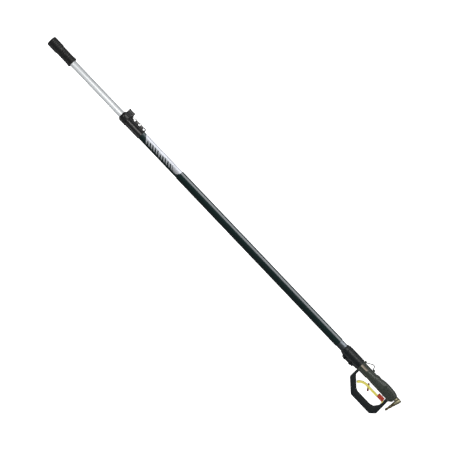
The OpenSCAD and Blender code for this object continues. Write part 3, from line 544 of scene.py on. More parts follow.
work(gun_clamp, "DIFFERENCE",
     rod(clamp_x0 - 1, clamp_x1 + 1, TUBE_R + FIT_GAP, steps=96),
     box_of((clamp_x0 - 1, 5, -1), (clamp_x1 + 1, 40, 1)),
     *[disc(at, BOLT_HOLE_R, -20, 20) for at in bolt_places])
fit(soften(gun_clamp, 0.5, 2, 38), moulded("clamp_rubbery", tint("06090b"), tint("0c1317"), 0.38, 0.05),
    "lance", "clamp_rubbery", "gun_clamp")


def cap_bolt(at, under, foot, head_r=BOLT_HEAD_R, head_h=BOLT_HEAD_H, shank_r=BOLT_R):
    """A cap bolt: round head with a hexagon socket, and a plain shank down to its foot."""
    top = under + head_h
    bolt = turned("bolt", [(foot, 0), (foot, shank_r - 0.4), (foot + 0.4, shank_r), (under, shank_r),
                           (under, head_r), (top - 0.5, head_r), (top, head_r - 0.5), (top, 0)],
                  (at[0], at[1], 0), Z, X, 48)
    socket = slab("socket", six_corners(SOCKET_R, at), top - SOCKET_DEPTH, top + 1)
    return soften(work(bolt, "DIFFERENCE", socket), 0.2, 2)


def hex_nut(at, top, height=NUT_HEIGHT, across=NUT_R, bore=BOLT_R):
    """A hexagon nut with both faces chamfered by the lathe."""
    nut = slab("nut", six_corners(across, at), top - height, top)
    cone = turned("cone", [(top - height, 0), (top - height, across * 0.9), (top - height + 0.5, across),
                           (top - 0.5, across), (top, across * 0.9), (top, 0)], (at[0], at[1], 0), Z, X, 48)
    return soften(work(work(nut, "INTERSECT", cone), "DIFFERENCE", disc(at, bore, top - 10, top + 10)), 0.12, 1)


def gather(name, pieces):
    """Several like pieces put in one object, each still a solid of its own."""
    bpy.ops.object.select_all(action="DESELECT")
    for piece in pieces:
        piece.select_set(True)
    bpy.context.view_layer.objects.active = pieces[0]
    if len(pieces) > 1:
        bpy.ops.object.join()
    pieces[0].name = pieces[0].data.name = name
    return pieces[0]


black_bolt = metal("black_bolt", tint("17191b"), tint("2c2f31"), 0.34)
fit(gather("gun_clamp_bolt_set", [cap_bolt(at, GUN_BOLT_SEAT, GUN_BOLT_FOOT) for at in bolt_places]),
    black_bolt, "lance", "black_bolt", "gun_clamp_bolts")
fit(gather("gun_clamp_nut_set", [hex_nut(at, -GUN_BOLT_SEAT) for at in bolt_places]),
    black_bolt, "lance", "black_bolt", "gun_clamp_nuts")

# ---- Pole clamp ----
# A black moulded sleeve, split under three bright cap bolts, with a stout collar at its mouth. Two ears
# on the collar hold the pin of the cam lever, and a nylon bush inside the collar guides the inner pole.
SLEEVE_R, COLLAR_R, MOUTH_R = 18.2, 20.2, 15.5
POLE_BOLT_SEAT, POLE_BOLT_FOOT = 9.2, -13.2
PIN_HOLE_R = 2.55
sleeve_x0, collar_x1 = along("pole_clamp")
collar_x0 = tube_x1
pole_bolts = [(sleeve_x0 + x, -20.0) for x in (8.2, 30.6, 53.6)]
INNER_R = 12.7
pole_clamp = turned("pole_clamp_body", [
    (sleeve_x0, TUBE_R), (sleeve_x0, SLEEVE_R - 0.8), (sleeve_x0 + 0.8, SLEEVE_R),
    (collar_x0 - 3, SLEEVE_R), (collar_x0 - 0.5, COLLAR_R), (collar_x0 + 2.4, COLLAR_R),
    (collar_x0 + 3.0, COLLAR_R - 0.7), (collar_x0 + 21, COLLAR_R - 0.7), (collar_x0 + 21.6, COLLAR_R),
    (collar_x1 - 8, COLLAR_R), (collar_x1 - 1, MOUTH_R + 0.6), (collar_x1, MOUTH_R - 0.6),
    (collar_x1, TUBE_R - 2)])
pole_flange = slab("flange", [(sleeve_x0 + 1, -12), (sleeve_x0 + 4, -25), (sleeve_x0 + 57, -25),
                              (sleeve_x0 + 62, -12)], -8.2, 8.2)
pole_lobes = [disc((x, y + 0.5), 7.0, -POLE_BOLT_SEAT, POLE_BOLT_SEAT) for x, y in pole_bolts]
cam_y = -31.0


def ear(x0):
    """One ear beside the cam: a round end on a wide root."""
    ring = [(cam_y + 6.5 * math.cos(math.radians(a)), 6.5 * math.sin(math.radians(a)))
            for a in range(80, 281, 10)]
    return slab("ear", ring + [(-15, -10), (-15, 10)], x0, x0 + 5, X)


ears = [soften(ear(collar_x0), 0.7, 3), soften(ear(collar_x0 + 22), 0.7, 3)]
rib = slab("rib", [(collar_x0 - 10, -14), (collar_x0 + 1, cam_y + 1), (collar_x0 + 1, -14)], -2, 2)
work(pole_clamp, "UNION", soften(pole_flange, 0.8, 3), *[soften(lobe, 0.8, 3) for lobe in pole_lobes],
     *ears, rib)
work(pole_clamp, "DIFFERENCE",
     turned("bore", [(sleeve_x0 - 1, 0), (sleeve_x0 - 1, TUBE_R + FIT_GAP),
                     (collar_x1 - 4.4, TUBE_R + FIT_GAP), (collar_x1 - 4.4, INNER_R + 0.4),
                     (collar_x1 + 1, INNER_R + 0.4), (collar_x1 + 1, 0)]),
     box_of((sleeve_x0 - 1, -40, -1), (collar_x0 - 8, -8, 1)),
     box_of((collar_x0 + 6.7, -22, -4.5), (collar_x0 + 19.3, -10, 4.5)),
     *[disc(at, BOLT_HOLE_R, -20, 20) for at in pole_bolts],
     *[disc(at, 4.8, 8.7, 20) for at in pole_bolts],
     rod(collar_x0 - 12, collar_x0 + 28, PIN_HOLE_R, (0, cam_y, 0)))
fit(soften(pole_clamp, 0.5, 2, 38),
    moulded("clamp_black", tint("070707"), tint("111112"), 0.30, 0.04, 1400, 0.2),
    "lance", "clamp_black", "pole_clamp")

bright_steel = metal("bright_steel", tint("b9bdbf"), tint("eceef0"), 0.16)
fit(gather("pole_clamp_bolt_set", [cap_bolt(at, POLE_BOLT_SEAT, POLE_BOLT_FOOT) for at in pole_bolts]),
    bright_steel, "lance", "bright_steel", "pole_clamp_bolts")
fit(gather("pole_clamp_nut_set", [hex_nut(at, -POLE_BOLT_SEAT) for at in pole_bolts]),
    bright_steel, "lance", "bright_steel", "pole_clamp_nuts")
coat(nylon("white_nylon", tint("c9c5b2"), tint("dedbcd")), "collar_bush", "brake_shoe", "lower_bush")

# ---- Cam lever and its pin ----
# A moulded lever that wraps over the collar. Its cam presses a nylon shoe on the inner pole, and its lip
# has three ridges for the thumb. It turns on a bright steel pin, chamfered at each end.
lever_x0, lever_x1 = along("cam_lever")
LEVER_IN, LEVER_OUT, LEVER_LIP = COLLAR_R + 0.4, COLLAR_R + 3.8, 2.38
CAM_R, CAM_THROW, RIDGE_R, RIDGE_TURNS = 6.2, 0.8, 0.7, (53, 59, 65)


def arc(centre, radius, start, end, steps):
    """Points round a centre, from one angle to the other, in degrees."""
    turns = [math.radians(start + (end - start) * i / steps) for i in range(steps + 1)]
    return [(centre[0] + radius * math.cos(a), centre[1] + radius * math.sin(a)) for a in turns]


lever = slab("cam_lever_body", arc((0, 0), LEVER_IN, 44, 160, 28) + arc((0, 0), LEVER_OUT, 160, 44, 28),
             lever_x0, lever_x1, X)
lip_at = ((COLLAR_R + 0.4 + LEVER_LIP) * math.cos(math.radians(42)),
          (COLLAR_R + 0.4 + LEVER_LIP) * math.sin(math.radians(42)))
web = slab("web", [(cam_y, 6), (-20, 12), (-(LEVER_IN + 0.2) * math.cos(math.radians(20)),
                                          (LEVER_IN + 0.2) * math.sin(math.radians(20))),
                   (cam_y + 4.5, 4.2)], lever_x0, lever_x1, X)
cam = rod(lever_x0, lever_x1, CAM_R, (0, cam_y + CAM_THROW, 0))
curl = rod(lever_x0, lever_x1, LEVER_LIP, (0, *lip_at), 32)
ridges = [rod(lever_x0 + 1.5, lever_x1 - 1.5, RIDGE_R,
              (0, LEVER_OUT * math.cos(math.radians(a)), LEVER_OUT * math.sin(math.radians(a))), 16)
          for a in RIDGE_TURNS]
work(lever, "UNION", web, cam, curl, *ridges)
work(lever, "DIFFERENCE", rod(lever_x0 - 1, lever_x1 + 1, PIN_HOLE_R, (0, cam_y, 0)))
fit(soften(lever, 0.5, 3, 35), moulded("lever_black", tint("08090a"), tint("111214"), 0.34, 0.04, 1400, 0.2),
    "cam_lever", "lever_black", "cam_lever")

pin_x0, pin_x1 = along("cam_pin")
cam_pin = turned("cam_pin_bar", [(pin_x0, 0), (pin_x0, 1.9), (pin_x0 + 0.6, 2.5), (pin_x1 - 0.6, 2.5),
                                 (pin_x1, 1.9), (pin_x1, 0)], (0, cam_y, 0), steps=48)
fit(soften(cam_pin, 0.1, 1), bright_steel, "lance", "bright_steel", "cam_pin")

# ---- Sliding pole ----
# A bright drawn aluminium tube that slides out of the collar. A nylon bush guides its lower end inside
# the lower pole, and a brass carrier with two rubber rings seals it on the supply pipe.
inner_x0, inner_x1 = along("inner_tube")
sliding = turned("sliding_tube", [(inner_x0, INNER_R - 1.5), (inner_x0, INNER_R), (inner_x1, INNER_R),
                                  (inner_x1, INNER_R - 1.5)], steps=128)
fit(soften(sliding, 0.3), anodised("bare_aluminium", tint("cfd4d8"), tint("eef1f3"), 0.36, 1.5, 0.45),
    "sliding_pole", "bare_aluminium", "inner_tube")
brass = metal("brass", tint("8a6a2e"), tint("c39d55"), 0.22)


def rubber(name, dark, light, roughness=0.6):
    """Black rubber: matt, with a fine bloom and small pits."""
    skin = Finish(name, IOR=1.5)
    fine = skin.noise(1100, 3, 0.6)
    bloom = skin.noise(40, 4, 0.6)
    skin.put("Base Color", skin.mix(bloom * 0.7 + fine * 0.3, dark, light))
    skin.put("Roughness", roughness + bloom * 0.12)
    skin.bump(fine, 0.08, 0.5)
    return skin.material


seal_rubber = rubber("seal_rubber", tint("0b0b0b"), tint("1a1a1a"), 0.45)
coat(brass, "seal_carrier", "nozzle_holder")
coat(seal_rubber, "pipe_seals", "pin_seal", "swivel_seal")

# ---- Nozzle and its rubber guard ----
# A thick black rubber sleeve pushed over the pole's end. It is heavier at its front, with shallow grip
# rings, and shields a steel fan nozzle that is screwed into its brass holder at the bottom of a recess.
guard_x0, guard_x1 = along("nozzle_guard")
GUARD_R, GUARD_FRONT_R, GUARD_FRONT = 19.0, 19.75, 43.0
RECESS_R, RECESS_DEPTH = 11.0, 16.0
web_x = inner_x1 + 8.0
front_x = guard_x1 - GUARD_FRONT
waist = GUARD_R - 1.0
profile = [(guard_x0, INNER_R), (guard_x0, GUARD_R - 2.5), (guard_x0 + 1.0, GUARD_R - 0.9),
           (guard_x0 + 3, GUARD_R), (guard_x0 + 9, GUARD_R), (guard_x0 + 12, waist)]
for ring in range(5):
    x = guard_x0 + 20 + ring * 8.5
    profile += [(x, waist), (x + 0.9, waist - 0.7), (x + 2.1, waist - 0.7), (x + 3.0, waist)]
profile += [(front_x - 4, waist), (front_x - 1.5, GUARD_FRONT_R - 0.5), (front_x, GUARD_FRONT_R)]
for ring in range(4):
    x = front_x + 7 + ring * 8.0
    profile += [(x, GUARD_FRONT_R), (x + 0.8, GUARD_FRONT_R - 0.5), (x + 1.8, GUARD_FRONT_R - 0.5),
                (x + 2.6, GUARD_FRONT_R)]
profile += [(guard_x1 - 3.2, GUARD_FRONT_R), (guard_x1 - 1.2, GUARD_FRONT_R - 0.9),
            (guard_x1, GUARD_FRONT_R - 3.0), (guard_x1, RECESS_R + 1.0), (guard_x1 - 1.0, RECESS_R),
            (guard_x1 - RECESS_DEPTH, RECESS_R),
            (guard_x1 - RECESS_DEPTH, 9.0), (web_x, 9.0), (web_x, INNER_R)]
nozzle_guard = turned("nozzle_guard_sleeve", profile, steps=96)
fit(soften(nozzle_guard, 0.4, 2, 24), rubber("guard_rubber", tint("070707"), tint("131313"), 0.42),
    "sliding_pole", "guard_rubber", "nozzle_guard")

nozzle_x0, nozzle_x1 = along("nozzle")
hex_x0 = nozzle_x0 + 10
hexagon = slab("nozzle_tip", six_corners(6.9), hex_x0, hex_x0 + 14, X)
cone = turned("cone", [(hex_x0, 0), (hex_x0, 6.3), (hex_x0 + 0.6, 6.9), (hex_x0 + 12.8, 6.9), (hex_x0 + 14, 6.0),
                       (hex_x0 + 14, 0)], steps=48)
work(hexagon, "INTERSECT", cone)
stem = turned("stem", [(nozzle_x0, 0), (nozzle_x0, 4.9), (hex_x0 + 1, 4.9), (hex_x0 + 13, 4.9),
                       (nozzle_x1 - 1.2, 4.9), (nozzle_x1, 3.8), (nozzle_x1, 0)], steps=48)
work(hexagon, "UNION", stem)
work(hexagon, "DIFFERENCE",
     slab("fan_slot", [(nozzle_x1 - 2.2, 0), (nozzle_x1 + 1, -1.7), (nozzle_x1 + 1, 1.7)], -6, 6),
     rod(nozzle_x1 - 4, nozzle_x1 + 1, 0.6, steps=16))
fit(soften(hexagon, 0.15, 2), steel, "sliding_pole", "steel", "nozzle")

# ---- Gun body: two moulded shells ----
# The trigger gun is in line with the pole. Its shells are moulded in dark olive-grey plastic, and the hand guard
# is in one piece with them;
# the guard's blue-black is painted shade. They meet on a seam and are ribbed at the rear, where
# the hand closes on them.
NECK_R, BODY_LEN = 18.6, 174.6
TOP = [(0, -16.5), (3, -19.0), (10, -22.0), (22, -24.3), (35, -25.2), (58, -25.2), (73, -24.0), (85, -20.8),
       (91, -21.4), (97, -22.6), (102, -21.2), (108, -18.6), (180, -18.6)]
HEEL = [(0, 10.5), (4, 14.5), (9, 18.6), (14, 19.2), (100, 19.0), (112, 18.6), (180, 18.6)]
SIDE = [(0, 16.4), (3, 18.2), (8, 19.0), (92, 19.0), (108, 18.6), (180, 18.6)]
SQUARE = [(0, 2.5), (60, 2.6), (95, 2.3), (110, 2.0), (180, 2.0)]
GUARD_HALF = 13.0
RIB_X0, RIB_STEP, RIB_COUNT, RIB_DEPTH = 9.0, 5.2, 10, 0.9


def reading(table, x):
    """A value between the rows of a table of (x, value), eased so that the slopes meet softly."""
    for (x0, v0), (x1, v1) in zip(table, table[1:]):
        if x <= x1:
            t = (x - x0) / (x1 - x0)
            return v0 + (v1 - v0) * (t * t * (3 - 2 * t) * 0.5 + t * 0.5)
    return table[-1][1]


def body_ring(x, dent=0.0, steps=72):
    """One cross-section of the body: a squared oval, flatter on its sides, dented only on its flanks."""
    top, heel, half, power = (reading(table, x) for table in (TOP, HEEL, SIDE, SQUARE))
    middle, high = (top + heel) / 2, (heel - top) / 2
    ring = []
    for i in range(steps):
        a = 2 * math.pi * i / steps
        c, s = math.cos(a), math.sin(a)
        r = 1 / ((abs(c) / high) ** power + (abs(s) / half) ** power) ** (1 / power)
        r -= dent * min(1.0, max(0.0, (abs(s) - 0.25) * 3)) * (1 if c < 0.75 else 0)
        ring.append(spot(x, middle + r * c, r * s))
    return ring


def lofted(name, rings):
    """A skin through rings of the same number of points, closed at both ends."""
    piece = wire(name, rings[0])
    bpy.ops.object.mode_set(mode="EDIT")
    bpy.ops.mesh.select_all(action="SELECT")
    bpy.ops.mesh.edge_face_add()
    bpy.ops.object.mode_set(mode="OBJECT")
    count = len(rings[0])
    for ring in rings[1:]:
        bpy.ops.object.mode_set(mode="EDIT")
        bpy.ops.mesh.extrude_region_move(TRANSFORM_OT_translate={"value": ring[0] - rings[0][0]})
        bpy.ops.object.mode_set(mode="OBJECT")
        for vertex, point in zip(piece.data.vertices[-count:], ring):
            vertex.co = point
    return close_up(piece)


stations = [(0, 0), (1.2, 0), (3, 0), (5.5, 0)]
for rib_at in range(RIB_COUNT):
    x = RIB_X0 + rib_at * RIB_STEP
    stations += [(x, 0), (x + 0.7, RIB_DEPTH), (x + 2.0, RIB_DEPTH), (x + 2.7, 0)]
stations += [(x, 0) for x in (64, 70, 76, 82, 88, 94, 100, 104, 108, 112, 125, 140, 155, 168, BODY_LEN - 1.0)]
body = lofted("gun_form", [body_ring(x, dent) for x, dent in stations] + [
    [spot(BODY_LEN, 0, 0) + (p - spot(BODY_LEN - 1.0, 0, 0)) * 0.96
     for p in body_ring(BODY_LEN - 1.0)]])


def rounded(points, radius, steps=6):
    """An outline with its corners rounded to one radius."""
    outline = []
    for before, at, after in zip(points[-1:] + points[:-1], points, points[1:] + points[:1]):
        here = Vector(at)
        a, b = (Vector(before) - here).normalized(), (Vector(after) - here).normalized()
        opening = a.angle(b)
        centre = here + (a + b).normalized() * (radius / math.sin(opening / 2))
        start, end = here + a * (radius / math.tan(opening / 2)), here + b * (radius / math.tan(opening / 2))
        first = math.atan2(*(start - centre).yx)
        sweep = (math.atan2(*(end - centre).yx) - first + math.pi) % (2 * math.pi) - math.pi
        outline += [(centre.x + radius * math.cos(first + sweep * i / steps),
                     centre.y + radius * math.sin(first + sweep * i / steps)) for i in range(steps + 1)]
    return outline


guard_form = slab("guard", rounded([(12.6, 5), (170, 5), (170, 55), (120.6, 98), (27.7, 98), (9.7, 80)], 9),
                  -GUARD_HALF, GUARD_HALF)
finger_hole = slab("finger_hole", rounded([(21.6, 4), (162.7, 4), (162, 34), (125, 67), (113.4, 71.6),
                                           (48.6, 71.6), (33.5, 67), (21.6, 49)], 2.8), -20, 20)
work(guard_form, "DIFFERENCE", finger_hole)
soften(guard_form, 3.6, 4, 50)
lug_y = -21.2
LUG_R, LUG_HOLE_R, LUGS = 3.8, 1.8, ((164.5, 172), (120, 127.5))
lugs = [rod(a, b, LUG_R, (0, lug_y, 0), 32) for a, b in LUGS]
lug_roots = [box_of((a, lug_y, -LUG_R), (b, -16, LUG_R)) for a, b in LUGS]
work(body, "UNION", guard_form, *lugs, *lug_roots)

TRIGGER_W, BLOCK_W, TONGUE_W = 14.0, 15.0, 10.0
PIVOT = (17.5, 40.0)
VALVE_X = 38.0
PIPE_HOLE_R = 5.1
work(body, "DIFFERENCE",
     box_of((20.5, 14.5, -8.3), (55, 24, 8.3)),
     box_of((52, 15, -7.4), (128, 30, 7.4)),
     box_of((93, 8.5, -3.95), (113, 30, 3.95)),
     disc(PIVOT, 4.4, -5.4, 5.4),
     slab("leg_slot", [(13.1, 38), (19, 27.5), (30, 22), (30, 46), (17.5, 44.4)], -5.4, 5.4),
     rod(-1, 8, 7.1, (0, -7.6, 0)),
     box_of((8, -18.4, -12), (72, 12, 12)),
     turned("gland_hole", [(11, 0), (11, 7.4), (16, 7.4), (16, 0)], (VALVE_X, 0, 0), Y, X, 48),
     rod(60, 190, PIPE_HOLE_R),
     rod(163.5, 171.4, LUG_HOLE_R, (0, lug_y, 0), 24),
     rod(120.6, 129, LUG_HOLE_R, (0, lug_y, 0), 24))

# From 17 to 22 mm below the axis the shells fade to blue-black over the hand guard: painted shade.
shell_plastic = moulded("moulded_black", tint("20251f"), tint("2f352e"), 0.34, 0.06, 1300, 0.2,
                        painted_shade_below=(17.0, 22.0, tint("070d0f")))
screw_places = [(80, -13), (126, -12), (126, 10.4), (13, 8.4), (19.5, 60), (45, 85), (108, 84), (143, 64.7)]
SCREW_SEAT = -9.5
for side, shell_name, node in ((1, "shell_upper", "left_shell"), (-1, "shell_lower", "right_shell")):
    bpy.ops.object.select_all(action="DESELECT")
    body.select_set(True)
    bpy.context.view_layer.objects.active = body
    bpy.ops.object.duplicate()
    shell = bpy.context.object
    shell.name = shell.data.name = shell_name
    work(shell, "INTERSECT", box_of((-10, -60, min(0.0, side * 40)), (200, 130, max(0.0, side * 40))))
    if side < 0:
        work(shell, "DIFFERENCE", *[disc(at, 3.1, -40, SCREW_SEAT, steps=32) for at in screw_places])
    spigot = rod(BODY_LEN - 2, 186, 15.8, steps=64)
    work(spigot, "INTERSECT", box_of((100, -60, min(0.0, side * 40)), (200, 130, max(0.0, side * 40))))
    work(spigot, "DIFFERENCE", rod(100, 190, PIPE_HOLE_R))
    work(shell, "UNION", spigot)
    fit(soften(shell, 0.45, 2, 32), shell_plastic, "lance", "moulded_black", node)
bpy.data.objects.remove(body, do_unlink=True)

# ---- Plate on the neck ----
# A thin satin plate, bent to the neck and stuck on just behind the gun clamp. It is left blank.
PLATE_X0, PLATE_X1, PLATE_RISE = 143, 172, 0.3
plate = turned("neck_plate", [(PLATE_X0, NECK_R), (PLATE_X0, NECK_R + PLATE_RISE),
                              (PLATE_X1, NECK_R + PLATE_RISE), (PLATE_X1, NECK_R)], steps=192)
work(plate, "INTERSECT", box_of((PLATE_X0 - 1, -8.5, 0), (PLATE_X1 + 1, 1.0, 30)))
fit(soften(plate, 0.08, 1), metal("plate_foil", tint("7f766b"), tint("a39a8e"), 0.45), "lance", "label_film")

# ---- Shell screws ----
# Eight plated screws pull the shells together from the underside. Each pan head is slotted crosswise and
# lies at the bottom of a round well.
SCREW_HEAD_R, SCREW_HEAD_H = 2.8, 2.2


def shell_screw(at):
    """A slotted screw with its head sunk in the outer face of the lower shell."""
    low = SCREW_SEAT - SCREW_HEAD_H
    screw = turned("screw", [(low, 0), (low, 1.6), (low + 0.3, 2.3), (low + 1.1, SCREW_HEAD_R),
                             (SCREW_SEAT, SCREW_HEAD_R), (SCREW_SEAT, 1.45), (9.0, 1.45), (9.8, 0)],
                   (at[0], at[1], 0), Z, X, 32)
    return soften(work(screw, "DIFFERENCE",
                       box_of((at[0] - 1.5, at[1] - 0.35, low - 1), (at[0] + 1.5, at[1] + 0.35, low + 1.1)),
                       box_of((at[0] - 0.35, at[1] - 1.5, low - 1), (at[0] + 0.35, at[1] + 1.5, low + 1.1))), 0, 1)


fit(gather("shell_screw_set", [shell_screw(at) for at in screw_places]),
    metal("screw_steel", tint("77797a"), tint("a9abac"), 0.28), "lance", "screw_steel", "housing_screws")

# ---- Shut-off valve ----
# A brass block inside the body holds a steel ball on a seat, with a spring and a screwed plug above it
# and a push pin below. All of it is hidden by the shells, so the turned pieces only take their finish.
coat(brass, "valve_body", "valve_plug", "gland_nut")
coat(steel, "valve_seat", "valve_ball", "valve_spring", "push_pin")
coat(metal("copper", tint("8f4a28"), tint("c4794d"), 0.26), "plug_washer")

# ---- Trigger, red block and safety latch ----
# A pale yellow moulded trigger hangs on a steel pin in the guard. A red block behind its band pushes the
# valve pin, and a dark red latch folds through a slot in the band to lock it.
BAND_Y, BAND_HALF, BEND_R = 33.3, 4.8, 34.6
LATCH_AT, LATCH_HALF_L, LATCH_HALF_W = (96, 35), 15, 3.5
curl_at = (108, BAND_Y + BEND_R)
band = arc(curl_at, BEND_R + BAND_HALF, -90, -36, 16)
tip_at = (curl_at[0] + BEND_R * math.sin(math.radians(54)), curl_at[1] - BEND_R * math.cos(math.radians(54)))
tip_round = arc(tip_at, BAND_HALF, -36, 144, 12)[1:-1]
back = arc(curl_at, BEND_R - BAND_HALF, -36, -90, 16)
trigger = slab("trigger_lever", [(52, BAND_Y - BAND_HALF)] + band + tip_round + back
               + [(52, BAND_Y + BAND_HALF)], -TRIGGER_W / 2, TRIGGER_W / 2)
soften(trigger, 1.6, 3, 50)
tongue = slab("tongue", [(14.7, 37.2), (26, 28), (53.5, 28.6), (53.5, 36.5), (26, 36.5), (20.3, 42.8)],
              -TONGUE_W / 2, TONGUE_W / 2)
hub = disc(PIVOT, 4.0, -TONGUE_W / 2, TONGUE_W / 2)
work(trigger, "UNION", soften(tongue, 0.6, 2), hub)
work(trigger, "DIFFERENCE",
     disc(PIVOT, 1.55, -10, 10), disc(LATCH_AT, 1.25, -10, 10),
     box_of((79, 20, -3.05), (113, 50, 3.05)),
     *[box_of((x, 37.5, -4.6), (x + 1.2, 39, 4.6)) for x in (58, 61.5, 65, 68.5, 72)])
trigger_yellow = moulded("trigger_yellow", tint("e4d854"), tint("efe57e"), 0.40, 0.03, 1200, 0.2)
fit(soften(trigger, 0.35, 2, 40), trigger_yellow, "trigger", "trigger_yellow", "trigger")

block = box_of((25.5, 20.5, -BLOCK_W / 2), (52, 37, BLOCK_W / 2), "push_block")
soften(block, 1.6, 4)
work(block, "DIFFERENCE", box_of((24, 28, -TONGUE_W / 2), (54, 40, TONGUE_W / 2)),
     *[box_of((x, 19.8, -9), (x + 1.0, 21.2, 9)) for x in (44, 46.6, 49.2)])
fit(soften(block, 0.3, 2, 40), moulded("trigger_red", tint("9c2a14"), tint("b43a20"), 0.28, 0.03, 1200, 0.5),
    "trigger", "trigger_red", "trigger_block")

latch_turn = math.radians(-53)


def on_latch(u, v):
    """A place on the latch: u along it, v across it."""
    return (LATCH_AT[0] + u * math.cos(latch_turn) - v * math.sin(latch_turn),
            LATCH_AT[1] + u * math.sin(latch_turn) + v * math.cos(latch_turn))


latch_outline = rounded([(-LATCH_HALF_L, -LATCH_HALF_W), (LATCH_HALF_L, -LATCH_HALF_W),
                         (LATCH_HALF_L, LATCH_HALF_W), (-LATCH_HALF_L, LATCH_HALF_W)], 2.2)
latch = slab("latch_bar", [on_latch(u, v) for u, v in latch_outline], -2.75, 2.75)
soften(latch, 0.8, 3)
grooves = []
for u in (-13.4, -11.4, -9.4, 9.4, 11.4, 13.4):
    for v in (-4.1, 3.2):
        grooves.append(slab("groove", [on_latch(u - 0.4, v), on_latch(u + 0.4, v), on_latch(u + 0.4, v + 0.9),
                                       on_latch(u - 0.4, v + 0.9)], -4, 4))
work(latch, "DIFFERENCE", disc(LATCH_AT, 1.3, -5, 5), *grooves)
fit(soften(latch, 0.15, 1, 40), moulded("latch_red", tint("5a130d"), tint("741c14"), 0.30, 0.03, 1200, 0.4),
    "safety_latch", "latch_red", "safety_latch")
coat(steel, "trigger_pin", "latch_pin")

# ---- Strap loop ----
# A bail of bent zinc-plated wire. Its feet turn in two lugs on the top of the neck, and a shoulder strap
# clips into it.
LOOP_RISE, LOOP_BEND_R, LOOP_WIRE_R = 12.8, 2.4, 1.75
LOOP = [(171, lug_y), (163.5, lug_y), (142, lug_y - LOOP_RISE), (134, lug_y - LOOP_RISE), (129.4, lug_y),
        (121, lug_y)]


def bent(points, radius, steps=8):
    """A row of points with a bend of one radius at each corner, and both ends left as they are."""
    row = [points[0]]
    for before, at, after in zip(points, points[1:], points[2:]):
        here = Vector(at)
        a, b = (Vector(before) - here).normalized(), (Vector(after) - here).normalized()
        reach = min(radius / math.tan(a.angle(b) / 2), 0.42 * (Vector(before) - here).length,
                    0.42 * (Vector(after) - here).length)
        start, end = here + a * reach, here + b * reach
        for i in range(steps + 1):
            t = i / steps
            row.append(tuple(start * (1 - t) ** 2 + here * 2 * t * (1 - t) + end * t ** 2))
    return row + [points[-1]]


loop = wire("strap_bail", [spot(x, y) for x, y in bent(LOOP, LOOP_BEND_R)], closed=False)
bpy.ops.object.convert(target="CURVE")
loop = bpy.context.object
loop.data.bevel_depth = LOOP_WIRE_R * MM
loop.data.bevel_resolution = 5
loop.data.use_fill_caps = True
bpy.ops.object.convert(target="MESH")
loop = close_up(bpy.context.object)
fit(soften(loop, 0), metal("zinc_wire", tint("1e2223"), tint("363b3d"), 0.42),
    "strap_loop", "zinc_wire", "strap_loop")

# ---- Inlet: stub, captive nut, swivel elbow and hose plug ----
# Pale plated brass. The nut holds the elbow on the stub so that it swings freely, and the elbow's leg
# ends in a darker turned plug with a sealing nose for a quick coupling.
inlet_y = -7.6
coat(brass, "inlet_stub")
nut_x0, nut_x1 = along("swivel_nut")
nut = slab("inlet_nut", six_corners(9.4, (inlet_y, 0)), nut_x0, nut_x1, X)
work(nut, "INTERSECT", turned("cone", [(nut_x0, 0), (nut_x0, 8.3), (nut_x0 + 0.8, 9.4), (nut_x1 - 0.8, 9.4),
                                       (nut_x1, 8.3), (nut_x1, 0)], (0, inlet_y, 0), steps=64))
work(nut, "DIFFERENCE", turned("bore", [(nut_x0 - 1, 0), (nut_x0 - 1, 4.55), (-4.9, 4.55), (-4.9, 6.6), (-3, 6.6),
                                        (-3, 7.02), (1, 7.02), (1, 0)], (0, inlet_y, 0), steps=64))
pale_brass = metal("pale_brass", tint("88846a"), tint("b0ac90"), 0.42)
fit(soften(nut, 0.15, 2), pale_brass, "lance", "pale_brass", "swivel_nut")

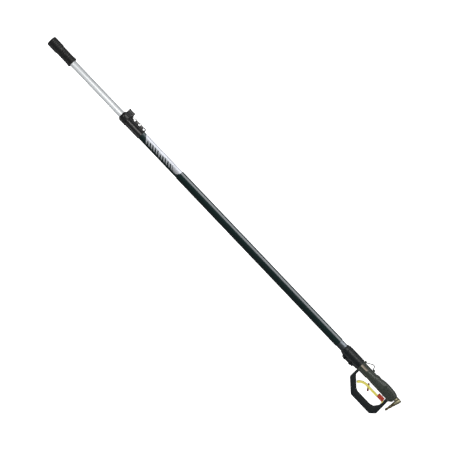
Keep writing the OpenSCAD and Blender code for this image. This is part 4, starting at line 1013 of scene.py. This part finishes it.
ELBOW = (-15, inlet_y, 0)
LEG_LEAN = 10
lean = math.radians(LEG_LEAN)
leg_run = Vector((math.sin(lean), math.cos(lean), 0))
leg_side = Vector((math.cos(lean), -math.sin(lean), 0))
elbow = turned("inlet_elbow_body", [(-9, 0), (-9, 6.4), (-8.4, 7.6), (-7, 9), (-2, 9), (3, 9), (6, 8.6), (12, 7.8),
                                    (12.6, 7.3), (14.0, 7.3), (14.6, 7.6), (17, 7.2), (17, 0)],
               ELBOW, leg_run, leg_side, 64)
work(elbow, "DIFFERENCE", rod(-7.4, 2, 9.8, (0, inlet_y, 0), 64))
tail = turned("tail", [(-15, 0), (-15, 4.5), (-4.6, 4.5), (-4.6, 6.3), (-3.3, 6.3), (-3.3, 0)],
              (0, inlet_y, 0), steps=48)
work(elbow, "UNION", tail)
work(elbow, "DIFFERENCE",
     rod(-15, -3, 2.6, (0, inlet_y, 0), 32),
     turned("leg_way", [(-1, 0), (-1, 3), (9, 3), (9, 5.05), (18, 5.05), (18, 0)],
            ELBOW, leg_run, leg_side, 48))
fit(soften(elbow, 0.3, 2), pale_brass, "inlet_elbow", "pale_brass", "swivel_elbow")

plug = turned("hose_plug_body", [
    (9.1, 3.0), (9.1, 5.0), (17, 5.0), (17, 6.5), (17.5, 7.0), (20.5, 7.0), (21.0, 6.6), (28.5, 5.6),
    (29.2, 5.2), (31.0, 5.2), (31.6, 5.5), (38, 5.5), (38.6, 5.2), (40, 5.0), (40.6, 3.7), (44.2, 3.7),
    (44.8, 4.3), (45.2, 4.5), (54.4, 4.5), (56.5, 3.3), (56.5, 3.0)], ELBOW, leg_run, leg_side, 64)
fit(soften(plug, 0.15, 2), metal("dark_brass", tint("5c523b"), tint("887c5d"), 0.48), "inlet_elbow",
    "dark_brass", "hose_plug")

# ---- Which piece each aimed lamp lights ----
# The side box is for the pole, the overhead strip for the bright metal and the pole clamp, and the
# shoulder strip for the gun and its clamp. Two low fills light the sides of the mouldings.
MOULDINGS = ("shell_upper", "shell_lower", "gun_clamp_body", "pole_clamp_body", "cam_lever_body",
             "nozzle_guard_sleeve")
for shine, names in ((near_fill, MOULDINGS), (far_fill, MOULDINGS),
                     (edge_light, ("pole_cover", "pole_label", "lower_tube")),
                     (crown_light, ("sliding_tube", "pole_clamp_body", "pole_clamp_bolt_set", "neck_plate",
                                    "inlet_elbow_body", "hose_plug_body", "inlet_nut")),
                     (body_light, ("shell_upper", "shell_lower", "gun_clamp_body", "gun_clamp_bolt_set",
                                   "nozzle_guard_sleeve", "cam_lever_body"))):
    for name in names:
        shine(bpy.data.objects[name])

# ---- Last update ----
bpy.context.view_layer.update()
